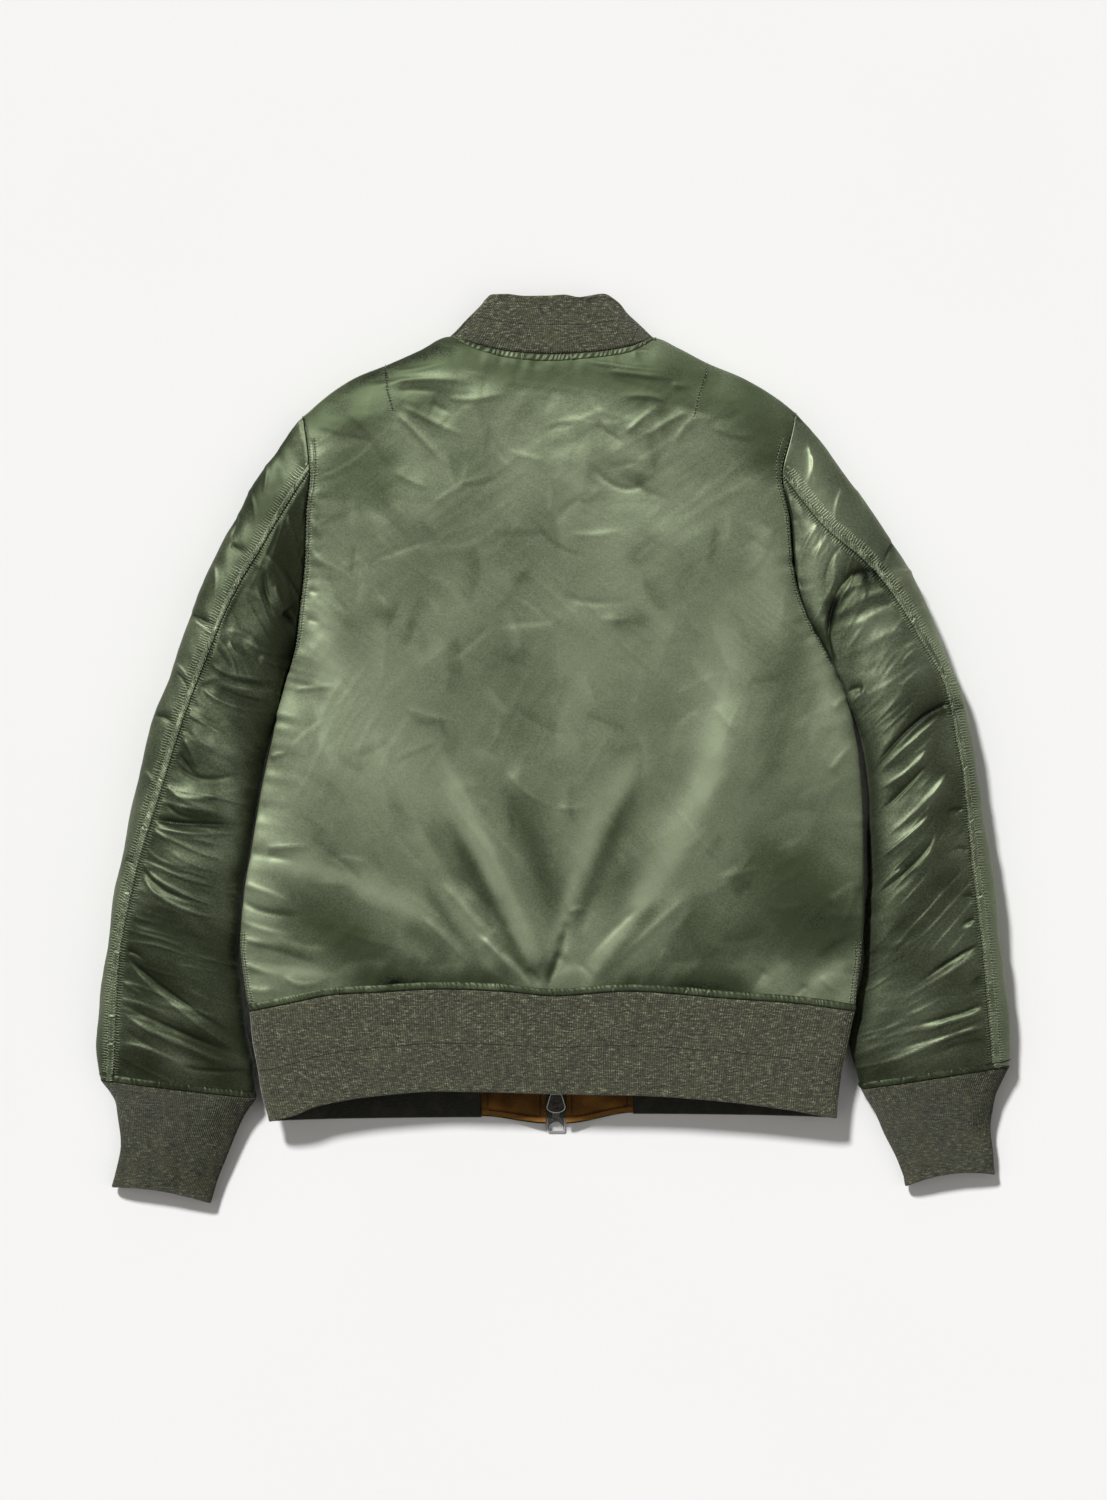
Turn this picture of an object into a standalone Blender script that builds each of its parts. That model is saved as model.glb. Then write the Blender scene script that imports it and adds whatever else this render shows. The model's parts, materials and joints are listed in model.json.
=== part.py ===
"""A flight jacket of padded nylon, laid face down: back uppermost, zip closed underneath.

Frame: +Z up, +Y towards the collar, +X towards the wearer's right sleeve. The jacket rests on
z = 0 and its plan is centred on the origin. Tables are in millimetres.

One skin runs over the whole garment. It is cut along the seams into panels, and every panel
becomes a wall of cloth, thickened inwards, with a small gap at each seam.
"""

import math

import bmesh
import bpy
import numpy as np
from mathutils import Matrix, Vector

MM = 0.001
TINY = 1e-6

# Cloth
CLOTH_WALL = 3.0
TAPE_WALL = 1.2
SEAM_GAP = 0.3

# Cross-sections
BODY_FULLNESS = 2.6
SLEEVE_FULLNESS = 2.3
ARMHOLE_REACH = 75.0  # from the armhole to where a sleeve has its own section
ARMHOLE_PLAN_RINGS = 4  # rings over which the plan of the armhole fades out of a sleeve
SECTION_RINGS = 3  # rings over which a sleeve takes its own spacing round the section
FLOOR_SPREAD = 1.2  # how far the flat underside reaches towards the sides
FOLD_RADIUS_ROWS = 0.9  # rows over which the shoulder fold turns from edge to top
NECK_SPACING_ROWS = 5  # rows over which the columns leave the corners of the neck
TOP_ROWS = 9  # rows over which the shape of the shoulders fades out
HEM_ROWS = (5, 13)  # rows between which the shape of the hem seam fades in
HEM_TAPER = 200.0  # the fronts' hem keeps its columns straight this close to the zip
COLLAR_DROP = 1.6  # how quickly the collar's front edge comes down to the surface

# Grids: rows down the body, columns across it, rings along each sleeve
BODY_ROWS = (0, 0.15, 0.4, 1, 1.8, 2.6, 3.4, 4.2, 5.1, 6, 6.8, 7.6, 8.5, 9.4, 10.3, 11.2, 12.1, 13)
SLEEVE_SEAM_ROW = 1  # body row where the sleeve's upper seam meets the armhole
SLEEVE_UNDER_ROW = 4.2  # body row where the sleeve's lower seam meets the armhole
UNDERARM_ROW = 6
HALF_COLUMNS = 14
NECK_COLUMN = 10
SLEEVE_RINGS = (0, 0.4, 1, 2, 3, 4, 5, 6, 7, 8, 9, 10, 11, 12)
UNDER_SEAM_ACROSS = 0.78
CORNER_STEP = 0.022  # share of the width between the corner of the neck and the next column
NECK_STEPS = (0, 0.08, 0.38, 0.7, 1)  # columns of a front from the corner of the neck to the zip
RIB_STEPS = (0.0, 0.3, 0.65, 1.0)
SEAM_SAMPLES = 400

# Zip
ZIP_X = 1.8
OPENING_HALF = 8.7  # between the centre of the zip and the edge of a front
CHAIN_HALF = 3.0
CHAIN_HEIGHT = 2.6
CHAIN_ENDS = (263.4, -311.0)
TAPE_ENDS = (274.0, -320.0)
END_LIFT = 7.5  # the sliders hold both ends of the zip off the surface
LIFT_WIDTH = 34.0
LOW_LIFT = (-236.0, -290.0)  # where the lift starts and where it is whole, at the hem
HIGH_LIFT = (165.0, 225.0)  # and at the neck

# Slider and pull, from the pin of the pull
SLIDER_LENGTH = 16.5
SLIDER_WIDE = 8.2
SLIDER_NARROW = 4.8
SLIDER_ROUND = 5.2
PLATE = 1.5
CHANNEL = 3.8
POST = 3.0
POST_INSET = 1.0
EAR_WALL = 1.2
EAR_HALF = 3.2
EAR_RADIUS = 1.6
PIN_RADIUS = 0.8
PIN_Z = 2.6
PIN_FROM_WIDE_END = 6.0
PULL_EYE_RADIUS = 1.15
PULL_BARREL_RADIUS = 2.0
PULL_BARREL_HALF = 2.8
PULL_THICK = 1.6
PULL_NECK_END = 7.6
PULL_LENGTH = 23.6
PULL_TOP_HALF = 7.3
PULL_END_HALF = 7.9
PULL_HOLE_HALF = 6.2
PULL_HOLE_FAR = 22.2
PULL_HOLE_HEIGHT = 7.2
PULL_CORNER = 1.1
PULL_TILT = math.radians(4.0)
ROD_SIDES = 16
ARC_POINTS = 13

LOWER_PIN_Y = -309.5
UPPER_PIN_Y = 262.0

# Angles from which an edge is drawn sharp
CLOTH_SHARP = math.radians(50)
METAL_SHARP = math.radians(35)

# Colour (linear), roughness and metallic of each material
MATERIALS = {
    "nylon": ((0.155, 0.185, 0.105), 0.42, 0.0),
    "rib": ((0.085, 0.082, 0.06), 0.95, 0.0),
    "facing": ((0.19, 0.075, 0.02), 0.6, 0.0),
    "tape": ((0.05, 0.055, 0.035), 0.85, 0.0),
    "gunmetal": ((0.09, 0.085, 0.075), 0.35, 1.0),
    "steel": ((0.42, 0.42, 0.41), 0.28, 1.0),
}


def table(columns, rows):
    """Turns rows of numbers into one array for each named column."""
    return {name: np.array(values, float) for name, values in zip(columns.split(), zip(*rows))}


# The sides of the body, down from the tips of the shoulders. A side is an armhole down to the
# underarm row, with an edge on the back and one on the front, and a side seam below that.
BODY = table(
    "row left_x left_y right_x right_y back_edge_z front_edge_z crown_z",
    [
        (0, -217, 288, 209, 291, 17, 17, 36),
        (0.15, -216, 281, 208, 283, 24, 10, 37),
        (0.4, -214, 269, 205, 270, 28, 7, 38),
        (1, -211, 239, 197, 236, 32, 4, 41),
        (2, -214, 197, 203, 202, 29, 3, 45),
        (3, -215, 163, 206, 163, 27, 3, 47),
        (4, -219, 124, 215, 125, 25, 3, 48),
        (5, -224, 85, 234, 84, 22, 6, 48),
        (6, -234, 51, 251, 51, 15, 15, 48),
        (7, -243, 12, 262, 8, 21, 21, 47),
        (8, -253, -35, 267, -44, 24, 24, 46),
        (9, -261, -83, 268, -92, 25, 25, 45),
        (10, -268, -126, 268, -134, 26, 26, 43),
        (11, -271, -165, 266, -173, 26, 26, 42),
        (12, -268, -199, 262, -208, 25, 25, 40),
        (13, -263, -227, 260, -227, 24, 24, 38),
    ],
)

# The top of the body from the left shoulder tip to the right one: over the back of the neck on
# the back panel, and down round the front of the neck on the fronts.
BACK_TOP = table(
    "x y z",
    [
        (-217, 288, 17), (-192, 309, 17), (-171, 322, 17), (-146, 332, 17), (-116, 345, 17),
        (-90, 357, 16), (-80, 354, 23), (-64, 349, 27), (-34, 343, 30), (0, 341, 31),
        (35, 343, 30), (66, 348, 27), (78, 352.5, 22), (87, 356, 16), (108, 347, 17),
        (133, 334, 17), (164, 321, 17), (194, 303, 17), (209, 291, 17),
    ],
)
NECK_CORNERS = [5, 13]  # rows of BACK_TOP at the two corners of the neck
FRONT_NECK = table(
    "from_corner drop z",
    [(0.0, 0, 16), (0.07, 12, 9), (0.2, 32, 4), (0.45, 58, 1), (0.7, 74, 0), (1.0, 80, 0)],
)

# The lower edge of the back panel, and how far the fronts' own lower edge hangs below it.
HEM_SEAM = table(
    "x y",
    [
        (-263, -227), (-225, -219), (-189, -212), (-153, -210), (-98, -207), (-43, -209),
        (0, -213), (63, -209), (147, -215), (212, -220), (260, -227),
    ],
)
FRONT_HEM_DROP = 26.0
FRONT_DROP_SHARE = 0.25  # share of the width over which that drop grows in from the side
TAB_OUTER_X = (-64.0, 70.0)

# The rib hem: its side edges down from the hem seam, and its lower edges.
HEM = table(
    "down left_x left_y right_x right_y side_z crown_z",
    [
        (0.0, -263, -227, 260, -227, 24, 38),
        (0.25, -260, -252, 255, -248, 23.5, 37),
        (0.6, -254, -288, 248, -284, 22.5, 35),
        (1.0, -246, -321, 244, -318, 21, 32),
    ],
)
BACK_HEM_EDGE = table(
    "x y",
    [
        (-246, -321), (-224, -315), (-207, -308), (-180, -302), (-153, -298), (-98, -294),
        (-12, -296), (81, -298), (147, -303), (194, -309), (244, -318),
    ],
)
FRONT_HEM_EDGE = table(
    "x y",
    [(-246, -321), (-64, -319), (-7, -325), (10, -325), (70, -316), (244, -318)],
)

# The collar, laid flat: its upper edge on the back, and how the front ones run.
COLLAR_TOP = table(
    "x y z",
    [
        (-60, 388, 14), (-54, 392, 20), (-42, 392, 23), (-24, 390, 25), (-8, 390, 26),
        (9, 391, 26), (22, 389, 25), (43, 392, 23), (55, 386, 20), (63, 377, 14),
    ],
)
COLLAR_HEIGHT = 50.0

# The sleeves, ring by ring: the outer edge, the inner edge next to the body, heights of both
# edges and of the crown between them.
LEFT_SLEEVE = table(
    "ring outer_x outer_y inner_x inner_y outer_z inner_z crown_z",
    [
        (0, -217, 288, -234, 51, 17, 15, 31),
        (1, -236, 264, -238.5, 38, 16, 11, 34),
        (2, -256, 234, -242.5, 25, 16, 9, 36),
        (3, -274, 203, -246.5, 8, 16, 8, 37),
        (4, -299, 154, -251, -12, 17, 8, 39),
        (5, -315, 115, -256, -38, 18, 8, 41),
        (6, -330, 68, -260, -65, 18, 8, 42),
        (7, -347, 25, -265, -92, 18, 8, 42),
        (8, -363, -44, -270.5, -129, 18, 8, 42),
        (9, -380, -124, -273.5, -175, 18, 8, 40),
        (10, -392, -212, -267, -228, 17, 8, 37),
        (11, -396, -252, -263, -264, 15, 9, 33),
        (12, -393, -287, -258, -303, 12, 10, 26),
    ],
)
RIGHT_SLEEVE = table(
    "ring outer_x outer_y inner_x inner_y outer_z inner_z crown_z",
    [
        (0, 209, 291, 251, 51, 17, 15, 31),
        (1, 226, 272, 257, 38, 16, 11, 34),
        (2, 247, 244, 262, 25, 16, 9, 36),
        (3, 268, 216, 267, 8, 16, 8, 37),
        (4, 298, 172, 271, -12, 17, 8, 39),
        (5, 320, 130, 273, -38, 18, 8, 41),
        (6, 339, 85, 274, -65, 18, 8, 42),
        (7, 353, 49, 275, -92, 18, 8, 42),
        (8, 366, -18, 275, -129, 18, 8, 42),
        (9, 379, -104, 274, -175, 18, 8, 40),
        (10, 390, -196, 269, -222, 17, 8, 37),
        (11, 395, -240, 260, -258, 15, 9, 33),
        (12, 395, -275, 266, -295, 12, 10, 26),
    ],
)

# The upper seam of each sleeve, from the armhole to the cuff.
LEFT_SEAM = table(
    "x y",
    [
        (-211, 239), (-229, 213), (-256, 171), (-277, 131), (-301, 72), (-316, 33),
        (-339, -40), (-359, -106), (-375, -191), (-379, -269), (-381, -288),
    ],
)
RIGHT_SEAM = table(
    "x y",
    [
        (197, 236), (226, 201), (256, 178), (278, 152), (301, 119), (318, 90), (335, 59),
        (351, -16), (362, -116), (368, -162), (379, -273), (380, -278),
    ],
)

LEFT_CUFF = table(
    "down outer_x outer_y inner_x inner_y edge_z crown_z bow",
    [
        (0.0, -393, -287, -258, -303, 11, 26, 0),
        (0.25, -379, -309, -268, -319, 10, 23, 2),
        (0.6, -376, -343, -283, -352, 9, 18, 3),
        (1.0, -383, -379, -298, -393, 8, 15, 4),
    ],
)
RIGHT_CUFF = table(
    "down outer_x outer_y inner_x inner_y edge_z crown_z bow",
    [
        (0.0, 395, -275, 266, -295, 11, 26, 0),
        (0.25, 382, -303, 279, -318, 10, 23, 3),
        (0.6, 379, -335, 293, -346, 9, 18, 5),
        (1.0, 382, -368, 305, -378, 8, 15, 6),
    ],
)

# The largest folds in the upper cloth: ridges have a positive height, troughs a negative one.
BACK_FOLDS = table(
    "x0 y0 x1 y1 width height",
    [
        (-104, -96, -36, -184, 17, 4.0),
        (-84, -80, -22, -190, 15, -4.0),
        (126, -112, 30, -204, 18, 4.0),
        (150, 0, 22, -108, 26, -3.5),
        (168, 44, 98, -104, 28, 3.5),
        (-140, 285, -60, 236, 20, 3.0),
        (120, 282, 62, 240, 20, 3.0),
        (-196, 60, -150, -150, 34, 3.5),
        (-240, -176, -150, -196, 16, -4.0),
        (228, -60, 214, -190, 26, -3.5),
    ],
)
SLEEVE_FOLDS = table(
    "x0 y0 x1 y1 width height",
    [
        (-314, 117, -252, 80, 12, -5.0),
        (-318, 62, -264, 30, 13, 4.0),
        (-345, -66, -262, -66, 11, -6.0),
        (-340, -84, -280, -90, 13, 4.0),
        (-372, -172, -290, -222, 14, -5.0),
        (-378, -214, -290, -262, 14, 4.0),
        (271, 159, 232, 120, 12, -6.0),
        (232, 120, 246, 74, 12, -5.0),
        (335, 40, 278, -24, 12, -6.5),
        (322, 12, 282, -40, 12, 4.5),
        (326, -22, 284, -90, 12, -6.0),
        (350, -24, 288, -100, 14, 4.5),
        (366, -166, 300, -212, 13, -5.0),
        (378, -214, 296, -250, 13, 4.0),
    ],
)
FOLD_FADE = 22.0  # folds die away this close to a side of the back
FOLD_TOP_ROWS = 1.5  # and over these rows at the shoulders and the hem
FOLD_HEM_ROWS = 1.2
SLEEVE_FOLD_FADE = 0.15  # share of a sleeve's width over which folds die away at its edges
SLEEVE_FOLD_RINGS = (2, 1.5)  # and rings, at the armhole and at the cuff
FOLD_END = 0.3  # share of a fold's length over which each end dies away
FOLD_OVERRUN = 0.075  # share of a fold's length by which it runs past its two points


def smooth(at, known, values):
    """Monotone cubic through (known, values), read at each value of `at`."""
    at = np.clip(np.asarray(at, float), known[0], known[-1])
    step = np.diff(known)
    slope = np.diff(values) / step
    tangent = np.zeros(len(known))
    tangent[0], tangent[-1] = slope[0], slope[-1]
    for i in range(1, len(known) - 1):
        if slope[i - 1] * slope[i] > 0:
            before, after = 2 * step[i] + step[i - 1], step[i] + 2 * step[i - 1]
            tangent[i] = (before + after) / (before / slope[i - 1] + after / slope[i])
    i = np.clip(np.searchsorted(known, at, side="right") - 1, 0, len(step) - 1)
    q = (at - known[i]) / step[i]
    return (
        values[i] * (1 + 2 * q) * (1 - q) ** 2
        + tangent[i] * step[i] * q * (1 - q) ** 2
        + values[i + 1] * q**2 * (3 - 2 * q)
        + tangent[i + 1] * step[i] * q**2 * (q - 1)
    )


def read(rows, at, *columns):
    """Smoothly read columns of a table at positions along its first column."""
    known = next(iter(rows.values()))
    return [smooth(at, known, rows[name]) for name in columns]


def mix(a, b, share):
    """A blend from a to b."""
    return a + (b - a) * share


def ease(q):
    """Rises from 0 to 1 with level ends."""
    q = np.clip(q, 0, 1)
    return q * q * (3 - 2 * q)


def dome(across, fullness):
    """Height of a full section from 0 at both edges (across = 0 and 1) to 1 between them."""
    return np.clip(1 - np.abs(2 * across - 1) ** fullness, 0, 1) ** (1 / fullness)


def underside(across):
    """How far the cloth has sunk to the surface: 0 at an edge, 1 where it lies flat."""
    return np.minimum(1, FLOOR_SPREAD * np.sqrt(np.clip(1 - (2 * across - 1) ** 4, 0, 1)))


def folds(rows, x, y):
    """Sum of the folds of a table at points x, y."""
    total = np.zeros(np.broadcast(x, y).shape)
    for x0, y0, x1, y1, width, height in zip(*rows.values()):
        dx, dy = x1 - x0, y1 - y0
        length2 = dx * dx + dy * dy
        along = ((x - x0) * dx + (y - y0) * dy) / length2
        off = np.abs((x - x0) * dy - (y - y0) * dx) / math.sqrt(length2)
        ends = ease((0.5 + FOLD_OVERRUN - np.abs(along - 0.5)) / FOLD_END)
        total += height * ends * np.exp(-((off / width) ** 2))
    return total


def zip_lift(x, y):
    """Height that a slider gives the cloth next to it."""
    low = ease((y - LOW_LIFT[0]) / (LOW_LIFT[1] - LOW_LIFT[0]))
    high = ease((y - HIGH_LIFT[0]) / (HIGH_LIFT[1] - HIGH_LIFT[0]))
    return END_LIFT * np.maximum(low, high) * np.exp(-(((x - ZIP_X) / LIFT_WIDTH) ** 2))


def column_shares():
    """Share of the width at each column of the back, closer together near the sides."""
    k = np.arange(2 * HALF_COLUMNS + 1)
    return (1 - np.cos(np.pi * k / (2 * HALF_COLUMNS))) / 2


def warp(shares, stops, targets):
    """Moves the shares at the columns `stops` to `targets`, and those between with them."""
    anchors = [0.0, *[shares[k] for k in stops], 1.0]
    return np.interp(shares, anchors, [0.0, *targets, 1.0])


def neck_shares():
    """Shares of the shoulder-to-shoulder width at the two corners of the neck."""
    left, right = BACK_TOP["x"][0], BACK_TOP["x"][-1]
    corners = BACK_TOP["x"][NECK_CORNERS]
    return (corners - left) / (right - left)


def between_ends(rows, name, share):
    """The straight line between the first and last values of a column."""
    return mix(rows[name][0], rows[name][-1], share)


def shoulder_turn(row):
    """Share of its own section that the cloth has, down from the fold at the shoulders."""
    return math.sqrt(1 - (1 - min(1, row / FOLD_RADIUS_ROWS)) ** 2)


def ends_shape(row, share, top_y, drop=0):
    """How far the shapes of the shoulder line and of the hem seam move points along Y."""
    at_top = top_y - between_ends(BACK_TOP, "y", share)
    hem_x = between_ends(HEM_SEAM, "x", share)
    at_hem = smooth(hem_x, HEM_SEAM["x"], HEM_SEAM["y"]) - HEM_SEAM["y"][0] - drop
    first, last = HEM_ROWS
    return at_top * (1 - ease(row / TOP_ROWS)) + at_hem * ease((row - first) / (last - first))


def back_panel():
    """The back: rows from the shoulder line down to the hem seam."""
    even = column_shares()
    left_corner, right_corner = neck_shares()
    stops = [NECK_COLUMN, NECK_COLUMN + 1]
    stops += [2 * HALF_COLUMNS - k for k in reversed(stops)]
    at_neck = warp(
        even, stops, [left_corner, left_corner + CORNER_STEP, right_corner - CORNER_STEP, right_corner]
    )
    grid = []
    for row in BODY_ROWS:
        left_x, left_y, right_x, right_y = read(BODY, row, "left_x", "left_y", "right_x", "right_y")
        edge_z, crown = read(BODY, row, "back_edge_z", "crown_z")
        share = mix(at_neck, even, ease(row / NECK_SPACING_ROWS))
        top_x = between_ends(BACK_TOP, "x", share)
        top_y = smooth(top_x, BACK_TOP["x"], BACK_TOP["y"])
        top_z = smooth(top_x, BACK_TOP["x"], BACK_TOP["z"])
        x = mix(left_x, right_x, share)
        y = mix(left_y, right_y, share) + ends_shape(row, share, top_y)
        section = edge_z + (crown - edge_z) * dome(share, BODY_FULLNESS)
        z = mix(top_z, section, shoulder_turn(row))
        inside = np.minimum(x - left_x, right_x - x)
        to_hem = (BODY_ROWS[-1] - row) / FOLD_HEM_ROWS
        fade = ease(inside / FOLD_FADE) * ease(row / FOLD_TOP_ROWS) * ease(to_hem)
        z = z + folds(BACK_FOLDS, x, y) * fade
        grid.append(np.stack([x, y, z], axis=1))
    return np.array(grid)


def front_panel(side):
    """One front, from its side (column 0) to the zip: side is -1 for the left, 1 for the right."""
    here, across = ("left", "right") if side < 0 else ("right", "left")
    even = column_shares()[: HALF_COLUMNS + 1]
    corner = neck_shares()[0] if side < 0 else 1 - neck_shares()[1]
    corner_y = BACK_TOP["y"][NECK_CORNERS[0]]
    zip_x = ZIP_X + side * OPENING_HALF
    tab_x = TAB_OUTER_X[0] if side < 0 else TAB_OUTER_X[1]
    grid = []
    for row in BODY_ROWS:
        side_x, side_y, edge_z = read(BODY, row, f"{here}_x", f"{here}_y", "front_edge_z")
        far_x, far_y = read(BODY, row, f"{across}_x", f"{across}_y")
        width = abs(far_x - side_x)
        end = abs(zip_x - side_x) / width
        split = mix(corner, abs(tab_x - side_x) / width, ease(row / BODY_ROWS[-1]))
        outer = even[: NECK_COLUMN + 1] / even[NECK_COLUMN] * split
        share = np.concatenate([outer, mix(split, end, np.array(NECK_STEPS[1:]))])
        from_left = share if side < 0 else 1 - share
        top_x = between_ends(BACK_TOP, "x", from_left)
        to_zip = np.clip((share - corner) / (end - corner), 0, 1)
        on_neck = to_zip > TINY
        neck_drop, neck_z = read(FRONT_NECK, to_zip, "drop", "z")
        top_y = np.where(on_neck, corner_y - neck_drop, smooth(top_x, BACK_TOP["x"], BACK_TOP["y"]))
        top_z = np.where(on_neck, neck_z, smooth(top_x, BACK_TOP["x"], BACK_TOP["z"]))
        drop = FRONT_HEM_DROP * np.minimum(1, share / FRONT_DROP_SHARE)
        x = mix(side_x, far_x, share)
        y = mix(side_y, far_y, share) + ends_shape(row, from_left, top_y, drop)
        section = edge_z * (1 - underside(share))
        z = mix(top_z, section, shoulder_turn(row)) + zip_lift(x, y)
        grid.append(np.stack([x, y, z], axis=1))
    return np.array(grid)


def hem_band(top, lower, in_front):
    """Rib hem below the last row of the back or of a front, down to its lower edge."""
    grid = [top]
    first_x, last_x = HEM["left_x"][0], HEM["right_x"][0]
    share = (top[:, 0] - first_x) / (last_x - first_x)
    top_shape = top[:, 1] - mix(HEM["left_y"][0], HEM["right_y"][0], share)
    for down in RIB_STEPS[1:]:
        left_x, left_y, right_x, right_y = read(HEM, down, "left_x", "left_y", "right_x", "right_y")
        side_z, crown = read(HEM, down, "side_z", "crown_z")
        x = mix(left_x, right_x, share)
        if in_front:
            x = mix(top[:, 0], x, ease(np.abs(top[:, 0] - ZIP_X) / HEM_TAPER))
        low_shape = smooth(x, lower["x"], lower["y"]) - between_ends(lower, "y", share)
        y = mix(left_y, right_y, share) + mix(top_shape, low_shape, down)
        if in_front:
            z = side_z * (1 - underside(share)) + zip_lift(x, y)
        else:
            z = side_z + (crown - side_z) * dome(share, BODY_FULLNESS)
        grid.append(np.stack([x, y, z], axis=1))
    return np.array(grid)


def collar(back, front_left, front_right):
    """The rib collar: one strip from the left front edge round the back to the right one."""
    neck = slice(NECK_COLUMN, 2 * HALF_COLUMNS - NECK_COLUMN + 1)
    low_back = back[0, neck]
    low_left = front_left[0, NECK_COLUMN:][::-1]
    low_right = front_right[0, NECK_COLUMN:]
    share = (low_back[:, 0] - low_back[0, 0]) / (low_back[-1, 0] - low_back[0, 0])
    top_x = between_ends(COLLAR_TOP, "x", share)
    top_back = np.stack([top_x, *read(COLLAR_TOP, top_x, "y", "z")], axis=1)
    top_left = front_collar_edge(low_left[::-1], top_back[0])[::-1]
    top_right = front_collar_edge(low_right, top_back[-1])
    low = np.concatenate([low_left[:-1], low_back, low_right[1:]])
    top = np.concatenate([top_left[:-1], top_back, top_right[1:]])
    return np.array([mix(top, low, q) for q in RIB_STEPS])


def front_collar_edge(low, corner):
    """Free edge of the collar in front: from the top corner down to the zip."""
    q = np.linspace(0, 1, len(low))
    end = low[-1] + [0, COLLAR_HEIGHT, 0]
    x = mix(corner[0], end[0], q)
    y = mix(corner[1], end[1], np.sin(q * np.pi / 2))
    z = mix(corner[2], end[2], ease(q * COLLAR_DROP))
    return np.stack([x, y, z], axis=1)


def crossing(seam, outer, inner):
    """Share of the way from outer to inner at which the line between them meets the seam."""
    fine = np.linspace(0, 1, SEAM_SAMPLES)
    knots = np.linspace(0, 1, len(seam["x"]))
    x, y = smooth(fine, knots, seam["x"]), smooth(fine, knots, seam["y"])
    across = inner - outer
    cross = (x - outer[0]) * across[1] - (y - outer[1]) * across[0]
    share = ((x - outer[0]) * across[0] + (y - outer[1]) * across[1]) / (across @ across)
    outside = (share < 0) | (share > 1)
    return share[np.where(outside, np.inf, np.abs(cross)).argmin()]


def section_shares(seam_share, seam_at, count):
    """Shares across a section, spaced as on a circle, with the seam at the point seam_at."""
    turn = np.arccos(1 - 2 * seam_share)
    to_seam = np.linspace(0, turn, seam_at + 1)
    from_seam = np.linspace(turn, np.pi, count - seam_at)[1:]
    return (1 - np.cos(np.concatenate([to_seam, from_seam]))) / 2


def ring_plan(rows, ring, hole, own_share, outer, inner):
    """Plan of half a ring, and its shares across: the armhole's own plan fades into a straight
    line from the outer edge to the inner one."""
    start = np.array([rows["outer_x"][0], rows["outer_y"][0]])
    chord = np.array([rows["inner_x"][0], rows["inner_y"][0]]) - start
    hole_share = (hole[:, :2] - start) @ chord / (chord @ chord)
    share = mix(hole_share, own_share, ease(ring / SECTION_RINGS))
    offset = hole[:, :2] - (start + hole_share[:, None] * chord)
    straight = outer + share[:, None] * (inner - outer)
    return straight + offset * (1 - ease(ring / ARMHOLE_PLAN_RINGS)), share


def meet_armhole(plan, z, hole):
    """A sleeve's points, with their heights brought to the armhole's where they come near it."""
    away = np.linalg.norm(plan - hole[:, :2], axis=1)
    z = mix(z, hole[:, 2], (1 - np.minimum(1, away / ARMHOLE_REACH)) ** 2)
    return np.column_stack([plan, z])


def sleeve_rings(rows, seam, armhole_top, armhole_under):
    """Rings of a sleeve from the armhole to the cuff. Each starts at the outer edge, runs over
    the upper side to the inner edge and comes back underneath."""
    seam_at = BODY_ROWS.index(SLEEVE_SEAM_ROW)
    under_at = BODY_ROWS.index(SLEEVE_UNDER_ROW)
    fold_start, fold_end = SLEEVE_FOLD_RINGS
    rings = []
    for ring in SLEEVE_RINGS:
        outer = np.array(read(rows, ring, "outer_x", "outer_y"))
        inner = np.array(read(rows, ring, "inner_x", "inner_y"))
        outer_z, inner_z, crown = read(rows, ring, "outer_z", "inner_z", "crown_z")
        own = section_shares(crossing(seam, outer, inner), seam_at, len(armhole_top))
        plan, share = ring_plan(rows, ring, armhole_top, own, outer, inner)
        edge = mix(outer_z, inner_z, share)
        within = ease(share / SLEEVE_FOLD_FADE) * ease((1 - share) / SLEEVE_FOLD_FADE)
        along = ease(ring / fold_start) * ease((SLEEVE_RINGS[-1] - ring) / fold_end)
        lift = folds(SLEEVE_FOLDS, plan[:, 0], plan[:, 1]) * within * along
        z = edge + (crown - edge) * dome(share, SLEEVE_FULLNESS) + lift
        upper_half = meet_armhole(plan, z, armhole_top)
        own = section_shares(UNDER_SEAM_ACROSS, under_at, len(armhole_under))
        plan, share = ring_plan(rows, ring, armhole_under, own, outer, inner)
        z = mix(outer_z, inner_z, share) * (1 - underside(share))
        lower_half = meet_armhole(plan, z, armhole_under)
        rings.append(np.concatenate([upper_half, lower_half[::-1][1:]]))
    return np.array(rings)


def cuff_rings(rows, top):
    """Rib cuff below the last ring of a sleeve."""
    half = len(top) // 2
    outer, inner = top[0, :2], top[half, :2]
    chord = inner - outer
    share = ((top[:, :2] - outer) @ chord) / (chord @ chord)
    under = np.arange(len(top)) > half
    rings = [top]
    for down in RIB_STEPS[1:]:
        outer_x, outer_y, inner_x, inner_y = read(rows, down, "outer_x", "outer_y", "inner_x", "inner_y")
        edge_z, crown, bow = read(rows, down, "edge_z", "crown_z", "bow")
        x = mix(outer_x, inner_x, share)
        y = mix(outer_y, inner_y, share) + bow * 4 * share * (1 - share)
        z = np.where(
            under,
            edge_z * (1 - underside(share)),
            edge_z + (crown - edge_z) * dome(share, SLEEVE_FULLNESS),
        )
        rings.append(np.stack([x, y, z], axis=1))
    return np.array(rings)


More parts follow.
